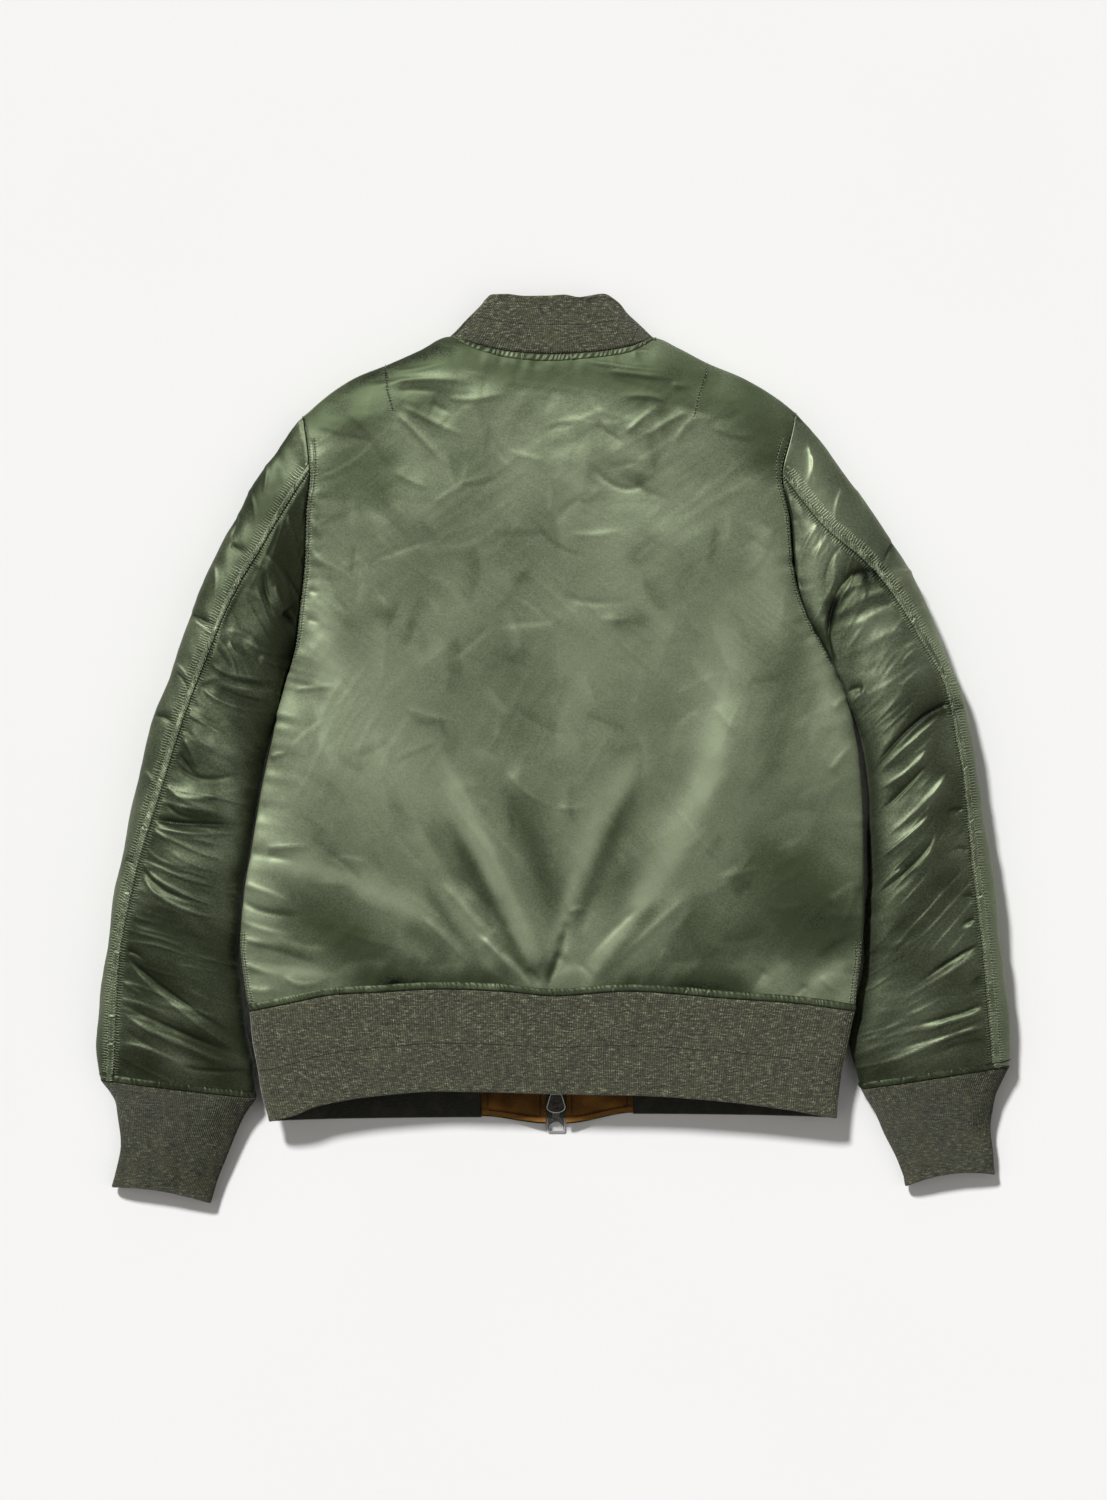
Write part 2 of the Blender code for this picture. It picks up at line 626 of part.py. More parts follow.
def skin():
    """The panels as open grids of points on the outer skin, each with its material."""
    back = back_panel()
    fronts = {"left": front_panel(-1), "right": front_panel(1)}
    armhole = BODY_ROWS.index(UNDERARM_ROW) + 1
    upper_seam = BODY_ROWS.index(SLEEVE_SEAM_ROW)
    # Fronts and back share the shoulder fold and the side seams.
    for front, from_side in ((fronts["left"], back), (fronts["right"], back[:, ::-1])):
        front[0, : NECK_COLUMN + 1] = from_side[0, : NECK_COLUMN + 1]
        front[armhole - 1 :, 0] = from_side[armhole - 1 :, 0]
    hem_back = hem_band(back[-1], BACK_HEM_EDGE, in_front=False)
    panels = {
        "back_panel": (back, "nylon"),
        "collar": (collar(back, fronts["left"], fronts["right"]), "rib"),
        "hem_back": (hem_back, "rib"),
    }
    for name, rows, seam, cuff, column in (
        ("left", LEFT_SLEEVE, LEFT_SEAM, LEFT_CUFF, 0),
        ("right", RIGHT_SLEEVE, RIGHT_SEAM, RIGHT_CUFF, -1),
    ):
        front = fronts[name]
        hem_front = hem_band(front[-1], FRONT_HEM_EDGE, in_front=True)
        hem_front[:, 0] = hem_back[:, column]
        rings = sleeve_rings(rows, seam, back[:armhole, column], front[:armhole, 0])
        lower_seam = rings.shape[1] - 1 - BODY_ROWS.index(SLEEVE_UNDER_ROW)
        top = np.concatenate([rings[:, lower_seam:-1], rings[:, : upper_seam + 1]], axis=1)
        pieces = {
            f"front_{name}": (front[:, ::-1], "nylon"),
            f"hem_front_{name}": (hem_front[:, NECK_COLUMN::-1], "rib"),
            f"hem_tab_{name}": (hem_front[:, : NECK_COLUMN - 1 : -1], "facing"),
            f"sleeve_top_{name}": (top, "nylon"),
            f"sleeve_under_{name}": (rings[:, upper_seam : lower_seam + 1], "nylon"),
            f"cuff_{name}": (cuff_rings(cuff, rings[-1]), "rib"),
        }
        for piece, (grid, material) in pieces.items():
            panels[piece] = (grid if name == "left" else grid[:, ::-1], material)
    return panels


def point_key(point):
    """A point to the nearest thousandth of a millimetre, the same on both sides of a seam."""
    return tuple(np.round(point, 3) + 0.0)


def skin_normals(panels):
    """Outward directions at every point, shared by the panels that meet there."""
    sums = {}
    keys = {}
    for name, (grid, _) in panels.items():
        a, b, c, d = grid[:-1, :-1], grid[1:, :-1], grid[1:, 1:], grid[:-1, 1:]
        facing = np.cross(c - a, d - b)
        lines = [[point_key(p) for p in line] for line in grid]
        keys[name] = lines
        for (i, j), _ in np.ndenumerate(facing[..., 0]):
            for key in (lines[i][j], lines[i + 1][j], lines[i][j + 1], lines[i + 1][j + 1]):
                sums[key] = sums.get(key, 0) + facing[i, j]
    normals = {}
    for name, lines in keys.items():
        raw = np.array([[sums[key] for key in line] for line in lines])
        normals[name] = raw / np.linalg.norm(raw, axis=2, keepdims=True)
    return normals


def seam_inset(grid, closed):
    """Moves the edges of a panel in by half a seam gap."""
    moved = grid.copy()
    pairs = [(0, 1, 0), (-1, -2, 0)]
    if not closed:
        pairs += [(0, 1, 1), (-1, -2, 1)]
    for edge, inner, axis in pairs:
        step = np.take(grid, inner, axis) - np.take(grid, edge, axis)
        step *= SEAM_GAP / 2 / np.linalg.norm(step, axis=1, keepdims=True)
        if axis == 0:
            moved[edge] += step
        else:
            moved[:, edge] += step
    return moved


def wall(name, grid, normal, material):
    """One panel as a closed wall of cloth under its outer skin."""
    closed = np.allclose(grid[:, 0], grid[:, -1])
    outer = seam_inset(grid, closed)
    inner = outer - normal * CLOTH_WALL
    if closed:
        outer, inner = outer[:, :-1], inner[:, :-1]
    rows, columns = outer.shape[:2]
    mesh = bmesh.new()
    out, back = [
        [[mesh.verts.new(Vector(p * MM)) for p in line] for line in layer] for layer in (outer, inner)
    ]
    last = columns if closed else columns - 1

    def end_wall(a, b):
        """Closes the wall from point a to point b, cut the same way on both sides of a seam."""
        (i, j), (k, m) = a, b
        corners = out[i][j], back[i][j], back[k][m], out[k][m]
        if point_key(grid[i, j]) < point_key(grid[k, m]):
            corners = corners[1:] + corners[:1]
        mesh.faces.new(corners[:3])
        mesh.faces.new((corners[2], corners[3], corners[0]))

    for j in range(last):
        k = (j + 1) % columns
        for i in range(rows - 1):
            mesh.faces.new((out[i][j], out[i + 1][j], out[i + 1][k], out[i][k]))
            mesh.faces.new((back[i][k], back[i + 1][k], back[i + 1][j], back[i][j]))
        end_wall((0, k), (0, j))
        end_wall((rows - 1, j), (rows - 1, k))
    if not closed:
        for i in range(rows - 1):
            end_wall((i, 0), (i + 1, 0))
            end_wall((i + 1, columns - 1), (i, columns - 1))
    dress(as_object(name, mesh), material, CLOTH_SHARP)


def dress(thing, material, sharp):
    """Gives a piece its own material and smooth rounds between its sharp edges."""
    colour, rough, metal = MATERIALS[material]
    look = bpy.data.materials.new(f"{thing.name}_{material}")
    look.use_nodes = True
    shader = look.node_tree.nodes["Principled BSDF"]
    shader.inputs["Base Color"].default_value = (*colour, 1)
    shader.inputs["Roughness"].default_value = rough
    shader.inputs["Metallic"].default_value = metal
    thing.data.materials.clear()
    thing.data.materials.append(look)
    thing.data.shade_smooth()
    thing.data.set_sharp_from_angle(angle=sharp)


def as_object(name, mesh):
    """Turns a bmesh into a named object in the scene."""
    data = bpy.data.meshes.new(name)
    mesh.to_mesh(data)
    mesh.free()
    thing = bpy.data.objects.new(name, data)
    bpy.context.collection.objects.link(thing)
    return thing


def strip(name, sections, material):
    """A solid lofted through sections with the same number of corners."""
    mesh = bmesh.new()
    rings = [[mesh.verts.new(Vector(np.array(p) * MM)) for p in section] for section in sections]
    corners = len(sections[0])
    for a, b in zip(rings, rings[1:]):
        for j in range(corners):
            k = (j + 1) % corners
            mesh.faces.new((a[j], a[k], b[k], b[j]))
    mesh.faces.new(rings[0][::-1])
    mesh.faces.new(rings[-1])
    bmesh.ops.recalc_face_normals(mesh, faces=mesh.faces)
    dress(as_object(name, mesh), material, CLOTH_SHARP)


def front_edge(panels, normals, name):
    """The middle of the cloth along a front's edge at the zip, from the neck to the hem."""
    column = 0 if name == "left" else -1
    lines = []
    for panel in (f"front_{name}", f"hem_tab_{name}"):
        grid, _ = panels[panel]
        lines.append(grid[:, column] - normals[panel][:, column] * CLOTH_WALL / 2)
    return np.concatenate([lines[0], lines[1][1:]])


def zip_strips(panels, normals):
    """The closed chain, and on each side of it the tape that joins it to a front."""
    edges = [front_edge(panels, normals, name) for name in ("left", "right")]

    def middle_z(y):
        return np.mean([np.interp(-y, -edge[:, 1], edge[:, 2]) for edge in edges])

    def bar(x0, x1, height, ends):
        inside = [y for y in edges[0][:, 1] if ends[1] + 1 < y < ends[0] - 1]
        sections = []
        for y in [ends[0], *inside, ends[1]]:
            low, high = middle_z(y) - height / 2, middle_z(y) + height / 2
            sections.append([(x0, y, low), (x1, y, low), (x1, y, high), (x0, y, high)])
        return sections

    chain = bar(ZIP_X - CHAIN_HALF, ZIP_X + CHAIN_HALF, CHAIN_HEIGHT, CHAIN_ENDS)
    strip("zip_chain", chain, "gunmetal")
    near, far = CHAIN_HALF + SEAM_GAP, OPENING_HALF - SEAM_GAP
    strip("zip_tape_left", bar(ZIP_X - far, ZIP_X - near, TAPE_WALL, TAPE_ENDS), "tape")
    strip("zip_tape_right", bar(ZIP_X + near, ZIP_X + far, TAPE_WALL, TAPE_ENDS), "tape")


def prism(mesh, outline, low, high):
    """A straight prism on a plan outline."""
    rings = [[mesh.verts.new((x, y, z)) for x, y in outline] for z in (low, high)]
    count = len(outline)
    for j in range(count):
        k = (j + 1) % count
        mesh.faces.new((rings[0][j], rings[0][k], rings[1][k], rings[1][j]))
    mesh.faces.new(rings[0][::-1])
    mesh.faces.new(rings[1])


def solid_of(name, build):
    """An object from a function that fills a bmesh, in millimetres about its own origin."""
    mesh = bmesh.new()
    build(mesh)
    bmesh.ops.scale(mesh, vec=(MM, MM, MM), verts=mesh.verts)
    bmesh.ops.recalc_face_normals(mesh, faces=mesh.faces)
    return as_object(name, mesh)


def block(mesh, x0, x1, y0, y1, low, high):
    """A box."""
    prism(mesh, [(x0, y0), (x1, y0), (x1, y1), (x0, y1)], low, high)


def rod(mesh, radius, half):
    """A round bar along X through the origin."""
    turn = Matrix.Rotation(math.pi / 2, 4, "Y")
    bmesh.ops.create_cone(
        mesh, cap_ends=True, segments=ROD_SIDES, radius1=radius, radius2=radius, depth=2 * half,
        matrix=turn,
    )


def combine(base, others, operation):
    """Applies booleans to base and removes the objects they use."""
    for other in others:
        tool = base.modifiers.new("combine", "BOOLEAN")
        tool.operation = operation
        tool.solver = "EXACT"
        tool.object = other
    depsgraph = bpy.context.evaluated_depsgraph_get()
    result = bpy.data.meshes.new_from_object(base.evaluated_get(depsgraph))
    base.modifiers.clear()
    base.data = result
    for other in others:
        bpy.data.objects.remove(other)


def slider_outline():
    """Shield plan of a slider plate, from the pin: the wide end is round and lies at -Y."""
    wide_y = -PIN_FROM_WIDE_END
    narrow_y = wide_y + SLIDER_LENGTH
    arc = [
        (SLIDER_WIDE * math.cos(a), wide_y + SLIDER_ROUND * (1 + math.sin(a)))
        for a in np.linspace(math.pi, 2 * math.pi, ARC_POINTS)
    ]
    return [*arc, (SLIDER_NARROW, narrow_y), (-SLIDER_NARROW, narrow_y)]


def add_slider(name, pin_y, turned):
    """A slider about the axis of its pull's pin. turned puts its wide end towards the collar."""
    chain_z = CLOTH_WALL / 2 + END_LIFT - PIN_Z
    channel_low, channel_high = chain_z - CHANNEL / 2, chain_z + CHANNEL / 2
    outline = slider_outline()
    plate_low = channel_low - PLATE

    def lower_plate(mesh):
        prism(mesh, outline, plate_low, channel_low)

    def upper_plate(mesh):
        prism(mesh, outline, channel_high, channel_high + PLATE)

    def post(mesh):
        low_y = -PIN_FROM_WIDE_END + POST_INSET
        low, high = channel_low - PLATE / 2, channel_high + PLATE / 2
        block(mesh, -POST / 2, POST / 2, low_y, low_y + POST, low, high)

    def ear(near_x, far_x):
        def build(mesh):
            high = plate_low + PLATE / 2
            block(mesh, near_x, far_x, -EAR_RADIUS, EAR_RADIUS, -EAR_RADIUS, high)
        return build

    def pin(mesh):
        rod(mesh, PIN_RADIUS, EAR_HALF + EAR_WALL / 2)

    body = solid_of(name, lower_plate)
    far = EAR_HALF + EAR_WALL
    builders = {
        "upper": upper_plate,
        "post": post,
        "left_ear": ear(-far, -EAR_HALF),
        "right_ear": ear(EAR_HALF, far),
        "pin": pin,
    }
    combine(body, [solid_of(f"{name}_{part}", build) for part, build in builders.items()], "UNION")
    body.location = (ZIP_X * MM, pin_y * MM, PIN_Z * MM)
    if turned:
        body.rotation_euler = (0, 0, math.pi)
    dress(body, "gunmetal", METAL_SHARP)


def add_pull(name, pin_y):
    """A pull tab, with its origin on the pin's axis, hanging towards the hem."""
    half = PULL_THICK / 2

    def plate(mesh):
        corner_x, corner_y = PULL_END_HALF - PULL_CORNER, PULL_LENGTH - PULL_CORNER
        shape = [
            (-PULL_TOP_HALF, -PULL_NECK_END), (-PULL_END_HALF, -corner_y),
            (-corner_x, -PULL_LENGTH), (corner_x, -PULL_LENGTH),
            (PULL_END_HALF, -corner_y), (PULL_TOP_HALF, -PULL_NECK_END),
        ]
        prism(mesh, shape, -half, half)

    def neck(mesh):
        low_y = -PULL_NECK_END - PULL_CORNER
        block(mesh, -PULL_BARREL_HALF, PULL_BARREL_HALF, low_y, 0, -half, half)

    def barrel(mesh):
        rod(mesh, PULL_BARREL_RADIUS, PULL_BARREL_HALF)

    def eye(mesh):
        rod(mesh, PULL_EYE_RADIUS, 2 * PULL_BARREL_HALF)

    def hole(mesh):
        arc = [
            (PULL_HOLE_HALF * math.cos(a), -PULL_HOLE_FAR + PULL_HOLE_HEIGHT * math.sin(a))
            for a in np.linspace(0, math.pi, ARC_POINTS)
        ]
        prism(mesh, arc, -2 * half, 2 * half)

    pull = solid_of(name, plate)
    combine(pull, [solid_of(f"{name}_neck", neck), solid_of(f"{name}_barrel", barrel)], "UNION")
    combine(pull, [solid_of(f"{name}_eye", eye), solid_of(f"{name}_hole", hole)], "DIFFERENCE")
    pull.location = (ZIP_X * MM, pin_y * MM, PIN_Z * MM)
    pull.rotation_euler = (PULL_TILT, 0, 0)
    dress(pull, "steel", METAL_SHARP)


def main():
    """Builds the jacket."""
    for thing in list(bpy.data.objects):
        bpy.data.objects.remove(thing)
    panels = skin()
    normals = skin_normals(panels)
    for name, (grid, material) in panels.items():
        wall(name, grid, normals[name], material)
    zip_strips(panels, normals)
    add_slider("zip_slider_lower", LOWER_PIN_Y, turned=False)
    add_slider("zip_slider_upper", UPPER_PIN_Y, turned=True)
    add_pull("zip_pull_lower", LOWER_PIN_Y)
    add_pull("zip_pull_upper", UPPER_PIN_Y)


main()
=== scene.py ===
"""Looks of a padded nylon flight jacket laid face down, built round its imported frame.

Lengths in tables are millimetres. Creases are drawn on a cutting-table layout: x to the right and
y towards the hem, LAYOUT_UNITS to the millimetre, with LAYOUT_ORIGIN over the frame's origin.
"""

from __future__ import annotations

import json
import logging
import math
from collections.abc import Callable
from dataclasses import dataclass, field
from enum import Enum

import bpy
import numpy as np
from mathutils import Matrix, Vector

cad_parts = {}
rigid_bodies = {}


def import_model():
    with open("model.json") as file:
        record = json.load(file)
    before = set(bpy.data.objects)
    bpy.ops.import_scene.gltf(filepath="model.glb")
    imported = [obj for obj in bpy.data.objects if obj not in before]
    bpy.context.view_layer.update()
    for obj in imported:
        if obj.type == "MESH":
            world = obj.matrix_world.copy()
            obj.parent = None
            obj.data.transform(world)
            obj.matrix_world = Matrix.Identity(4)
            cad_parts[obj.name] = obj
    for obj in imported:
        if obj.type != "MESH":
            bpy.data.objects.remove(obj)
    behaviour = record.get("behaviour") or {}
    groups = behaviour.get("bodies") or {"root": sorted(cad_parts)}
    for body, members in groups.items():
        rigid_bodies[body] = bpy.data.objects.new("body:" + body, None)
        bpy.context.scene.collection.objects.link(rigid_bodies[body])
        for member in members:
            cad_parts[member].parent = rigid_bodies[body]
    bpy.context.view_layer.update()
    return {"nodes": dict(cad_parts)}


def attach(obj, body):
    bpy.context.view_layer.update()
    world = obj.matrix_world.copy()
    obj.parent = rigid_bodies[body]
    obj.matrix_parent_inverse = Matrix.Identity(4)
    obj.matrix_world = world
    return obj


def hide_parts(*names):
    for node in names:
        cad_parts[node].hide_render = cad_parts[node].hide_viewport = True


LOG = logging.getLogger("jacket")
Array = np.ndarray
Table = dict[str, Array]
Thing = bpy.types.Object
Material = bpy.types.Material
Socket = bpy.types.NodeSocket
Value = Socket | float
Colour = tuple[float, float, float]

MM = 0.001
TINY = 1e-9
LAYOUT_UNITS = 1.16
LAYOUT_ORIGIN = (554.0, 749.0)
HATCH_PITCH = 2.3
SEAM_GAP = 0.3
NEAR_SEAM = 6.0
FAR = 99.0
PLANE_WAVES = 18
LINE_VALUES = 512
CLOUD_VALUES = 128
STROKE_STEPS = 12
WIDE_STROKE = 18.0
CREST_FADE = 8.0
CREST_WIDTH = 0.16
MARKS_X = (290, 840)
MARKS_Y = (385, 975)
HEM_MIDDLE = (546, 990)
WALL = 2.4
INNER_STEP = 4
FLOOR_CLEARANCE = 0.2


# ---------------------------------------------------------------- tables of the garment's shape


def table(columns: str, text: str) -> Table:
    """Reads a table of numbers.

    Args:
        columns: the names of its columns, parted by spaces.
        text: a row on each line, apart from notes, which begin with #.

    Returns:
        One array for each name.
    """
    lines = [line.split() for line in text.split("\n") if line and not line.startswith("#")]
    return dict(zip(columns.split(), np.array(lines, float).T.copy()))


BODY = table("row left_x left_y right_x right_y back_edge_z front_edge_z crown_z", """
0 -217 288 209 291 17 17 36
0.15 -216 281 208 283 24 10 37
0.4 -214 269 205 270 28 7 38
1 -211 239 197 236 32 4 41
2 -214 197 203 202 29 3 45
3 -215 163 206 163 27 3 47
4 -219 124 215 125 25 3 48
5 -224 85 234 84 22 6 48
6 -234 51 251 51 15 15 48
7 -243 12 262 8 21 21 47
8 -253 -35 267 -44 24 24 46
9 -261 -83 268 -92 25 25 45
10 -268 -126 268 -134 26 26 43
11 -271 -165 266 -173 26 26 42
12 -268 -199 262 -208 25 25 40
13 -263 -227 260 -227 24 24 38
""")
BACK_TOP = table("x y z", """
-217 288 17
-192 309 17
-171 322 17
-146 332 17
-116 345 17
-90 357 16
-80 354 23
-64 349 27
-34 343 30
0 341 31
35 343 30
66 348 27
78 352.5 22
87 356 16
108 347 17
133 334 17
164 321 17
194 303 17
209 291 17
""")
NECK_CORNERS = [5, 13]
FRONT_NECK = table("from_corner drop z", """
0.0 0 16
0.07 12 9
0.2 32 4
0.45 58 1
0.7 74 0
1.0 80 0
""")
HEM_SEAM = table("x y", """
-263 -227
-225 -219
-189 -212
-153 -210
-98 -207
-43 -209
0 -213
63 -209
147 -215
212 -220
260 -227
""")
FRONT_HEM_DROP = 26.0
FRONT_DROP_SHARE = 0.25
HEM = table("down left_x left_y right_x right_y side_z crown_z", """
0.0 -263 -227 260 -227 24 38
0.25 -260 -252 255 -248 23.5 37
0.6 -254 -288 248 -284 22.5 35
1.0 -246 -321 244 -318 21 32
""")
BACK_HEM_EDGE = table("x y", """
-246 -321
-224 -315
-207 -308
-180 -302
-153 -298
-98 -294
-12 -296
81 -298
147 -303
194 -309
244 -318
""")
FRONT_HEM_EDGE = table("x y", """
-246 -321
-64 -319
-7 -325
10 -325
70 -316
244 -318
""")
COLLAR_TOP = table("x y z", """
-60 388 14
-54 392 20
-42 392 23
-24 390 25
-8 390 26
9 391 26
22 389 25
43 392 23
55 386 20
63 377 14
""")
COLLAR_HEIGHT = 50.0
LEFT_SLEEVE = table("ring outer_x outer_y inner_x inner_y outer_z inner_z crown_z", """
0 -217 288 -234 51 17 15 31
1 -236 264 -238.5 38 16 11 34
2 -256 234 -242.5 25 16 9 36
3 -274 203 -246.5 8 16 8 37
4 -299 154 -251 -12 17 8 39
5 -315 115 -256 -38 18 8 41
6 -330 68 -260 -65 18 8 42
7 -347 25 -265 -92 18 8 42
8 -363 -44 -270.5 -129 18 8 42
9 -380 -124 -273.5 -175 18 8 40
10 -392 -212 -267 -228 17 8 37
11 -396 -252 -263 -264 15 9 33
12 -393 -287 -258 -303 12 10 26
""")
RIGHT_SLEEVE = table("ring outer_x outer_y inner_x inner_y outer_z inner_z crown_z", """
0 209 291 251 51 17 15 31
1 226 272 257 38 16 11 34
2 247 244 262 25 16 9 36
3 268 216 267 8 16 8 37
4 298 172 271 -12 17 8 39
5 320 130 273 -38 18 8 41
6 339 85 274 -65 18 8 42
7 353 49 275 -92 18 8 42
8 366 -18 275 -129 18 8 42
9 379 -104 274 -175 18 8 40
10 390 -196 269 -222 17 8 37
11 395 -240 260 -258 15 9 33
12 395 -275 266 -295 12 10 26
""")
LEFT_SEAM = table("x y", """
-211 239
-229 213
-256 171
-277 131
-301 72
-316 33
-339 -40
-359 -106
-375 -191
-379 -269
-381 -288
""")
RIGHT_SEAM = table("x y", """
197 236
226 201
256 178
278 152
301 119
318 90
335 59
351 -16
362 -116
368 -162
379 -273
380 -278
""")
LEFT_CUFF = table("down outer_x outer_y inner_x inner_y edge_z crown_z bow", """
0.0 -393 -287 -258 -303 11 26 0
0.25 -379 -309 -268 -319 10 23 2
0.6 -376 -343 -283 -352 9 18 3
1.0 -383 -379 -298 -393 8 15 4
""")
RIGHT_CUFF = table("down outer_x outer_y inner_x inner_y edge_z crown_z bow", """
0.0 395 -275 266 -295 11 26 0
0.25 382 -303 279 -318 10 23 3
0.6 379 -335 293 -346 9 18 5
1.0 382 -368 305 -378 8 15 6
""")

# Sections and blends of the skin
BODY_FULLNESS = 2.6
SLEEVE_FULLNESS = 2.3
ARMHOLE_REACH = 75.0
ARMHOLE_PLAN_RINGS = 4
SECTION_RINGS = 3
FLOOR_SPREAD = 1.2
FOLD_RADIUS_ROWS = 0.9
TOP_ROWS = 9
HEM_ROWS = (5, 13)
HEM_TAPER = 200.0
COLLAR_DROP = 1.6
ARMHOLE_ROWS = (0, 0.15, 0.4, 1, 1.8, 2.6, 3.4, 4.2, 5.1, 6)
LAST_HOLE_STEP = len(ARMHOLE_ROWS) - 1
SEAM_STEP = 3
UNDER_SEAM_STEP = 7
UNDER_SEAM_ACROSS = 0.78
LAST_ROW = 13.0
LAST_RING = 12.0
ZIP_X = 1.8
OPENING_HALF = 8.7
END_LIFT = 7.5
LIFT_WIDTH = 34.0
LOW_LIFT = (-236.0, -290.0)
HIGH_LIFT = (165.0, 225.0)


@dataclass(frozen=True)
class Side:
    """What goes with the wearer's left (-1) or right (1): names, sides and the zip's edges."""

    sign: int
    name: str
    other: str
    first_x: float
    tab_x: float

    @property
    def zip_x(self) -> float:
        """Where the front's cloth ends at the zip."""
        return ZIP_X + self.sign * OPENING_HALF

    @property
    def tab_share(self) -> float:
        """Share of the way from the side to the zip where the plain end of the hem begins."""
        return (self.tab_x - self.first_x) / (self.zip_x - self.first_x)

    def facing_up(self, grid: Array) -> Array:
        """A grid that runs from the side to the zip, turned so that its normals point up."""
        return grid[:, ::-1] if self.sign < 0 else grid


LEFT = Side(-1, "left", "right", HEM["left_x"][0], -64.0)
RIGHT = Side(1, "right", "left", HEM["right_x"][0], 70.0)


# ---------------------------------------------------------------- creases, drawn on the layout

# Each stroke bends through its middle point. left and right are how far it falls off, in
# millimetres, on the two sides of its direction on the plan, and height is its height there.
STROKE = "x0 y0 xm ym x1 y1 left right height"

BACK_CREASES = table(STROKE, """
# swells and hollows over the whole back
330 560 430 690 520 830 40 34 2.0
300 760 400 800 470 880 34 30 1.8
290 880 340 915 430 940 26 24 -1.8
746 690 705 790 650 890 24 18 2.0
724 755 655 810 583 864 20 18 -1.8
800 780 800 850 790 930 36 36 -1.8
480 380 500 430 490 480 34 34 1.8
388 520 420 505 460 500 24 26 1.4
640 460 600 520 585 570 26 24 -1.6
700 520 660 590 640 680 30 26 1.8
500 640 540 700 560 760 24 26 -1.4
330 420 350 480 345 540 24 26 -1.4
760 430 750 490 755 560 26 26 1.4
# folds that run together at the middle of the hem
478 934 503 958 530 988 5 3 3.2
451 870 490 910 528 962 14 9 -2.6
440 881 472 917 504 953 12 8 2.0
420 915 452 945 480 975 8 7 1.4
566 920 565 940 560 958 5 4 -2.4
562 950 553 970 545 994 5 4 -4.0
577 962 590 974 594 986 3 3 -1.6
526 968 536 978 540 990 3 4 -2.0
692 892 645 935 594 981 12 9 2.4
640 905 608 935 580 968 8 10 -2.0
692 906 680 925 666 942 3 3 0.9
665 947 661 966 658 986 3 3 1.2
506 770 530 796 560 808 11 7 1.5
556 806 572 809 590 804 8 6 1.0
568 914 580 909 592 914 9 7 1.6
560 596 600 604 640 598 12 9 -1.2
# bottom left and right corners
238 882 262 890 296 903 5 4 1.6
239 899 268 912 306 914 4 4 -1.6
238 920 262 929 298 937 5 4 1.6
826 905 842 890 858 880 4 5 1.4
243 938 260 943 276 944 5 4 1.8
243 963 265 972 283 974 6 4 2.2
283 974 303 985 333 976 5 5 1.8
247 988 265 991 285 988 5 4 1.8
300 993 318 990 332 984 4 4 1.2
766 968 758 980 749 994 4 5 -2.0
807 984 798 992 789 1000 4 4 -1.8
820 975 828 985 842 994 5 5 1.4
# left edge
308 492 314 500 322 512 4 3 1.6
306 515 314 525 324 540 4 3 1.6
305 540 312 552 325 568 4 4 1.6
308 590 314 592 322 594 4 4 -1.4
306 619 314 621 323 624 4 4 -1.4
296 684 315 650 330 628 12 18 2.2
293 690 316 688 340 686 5 5 1.2
268 758 277 755 290 752 4 4 1.6
264 848 289 847 314 846 5 4 1.6
266 855 282 858 297 860 4 4 -1.4
# right edge
833 712 842 700 855 694 4 4 1.6
828 775 843 755 859 740 6 5 1.8
840 930 852 900 862 870 6 6 1.6
796 540 800 552 806 566 4 4 1.4
# shoulders and the feet of the darts
388 384 430 380 480 384 4 4 1.5
392 372 425 369 455 360 4 4 1.2
396 392 420 391 445 395 4 4 -1.2
447 399 480 400 516 389 7 6 1.6
395 412 422 440 452 472 7 5 1.8
400 406 436 424 470 440 6 6 1.4
430 404 442 410 455 418 8 8 -1.4
584 361 630 368 695 373 3 3 1.5
604 371 645 376 697 380 3 3 1.5
630 353 645 351 662 355 4 3 1.1
670 386 684 386 700 388 3 3 1.2
626 436 645 417 668 404 5 5 2.0
668 403 645 397 615 399 6 4 1.6
692 412 665 425 640 446 5 5 1.8
695 418 682 432 672 452 4 4 1.4
585 462 625 490 660 470 10 6 -1.8
""")
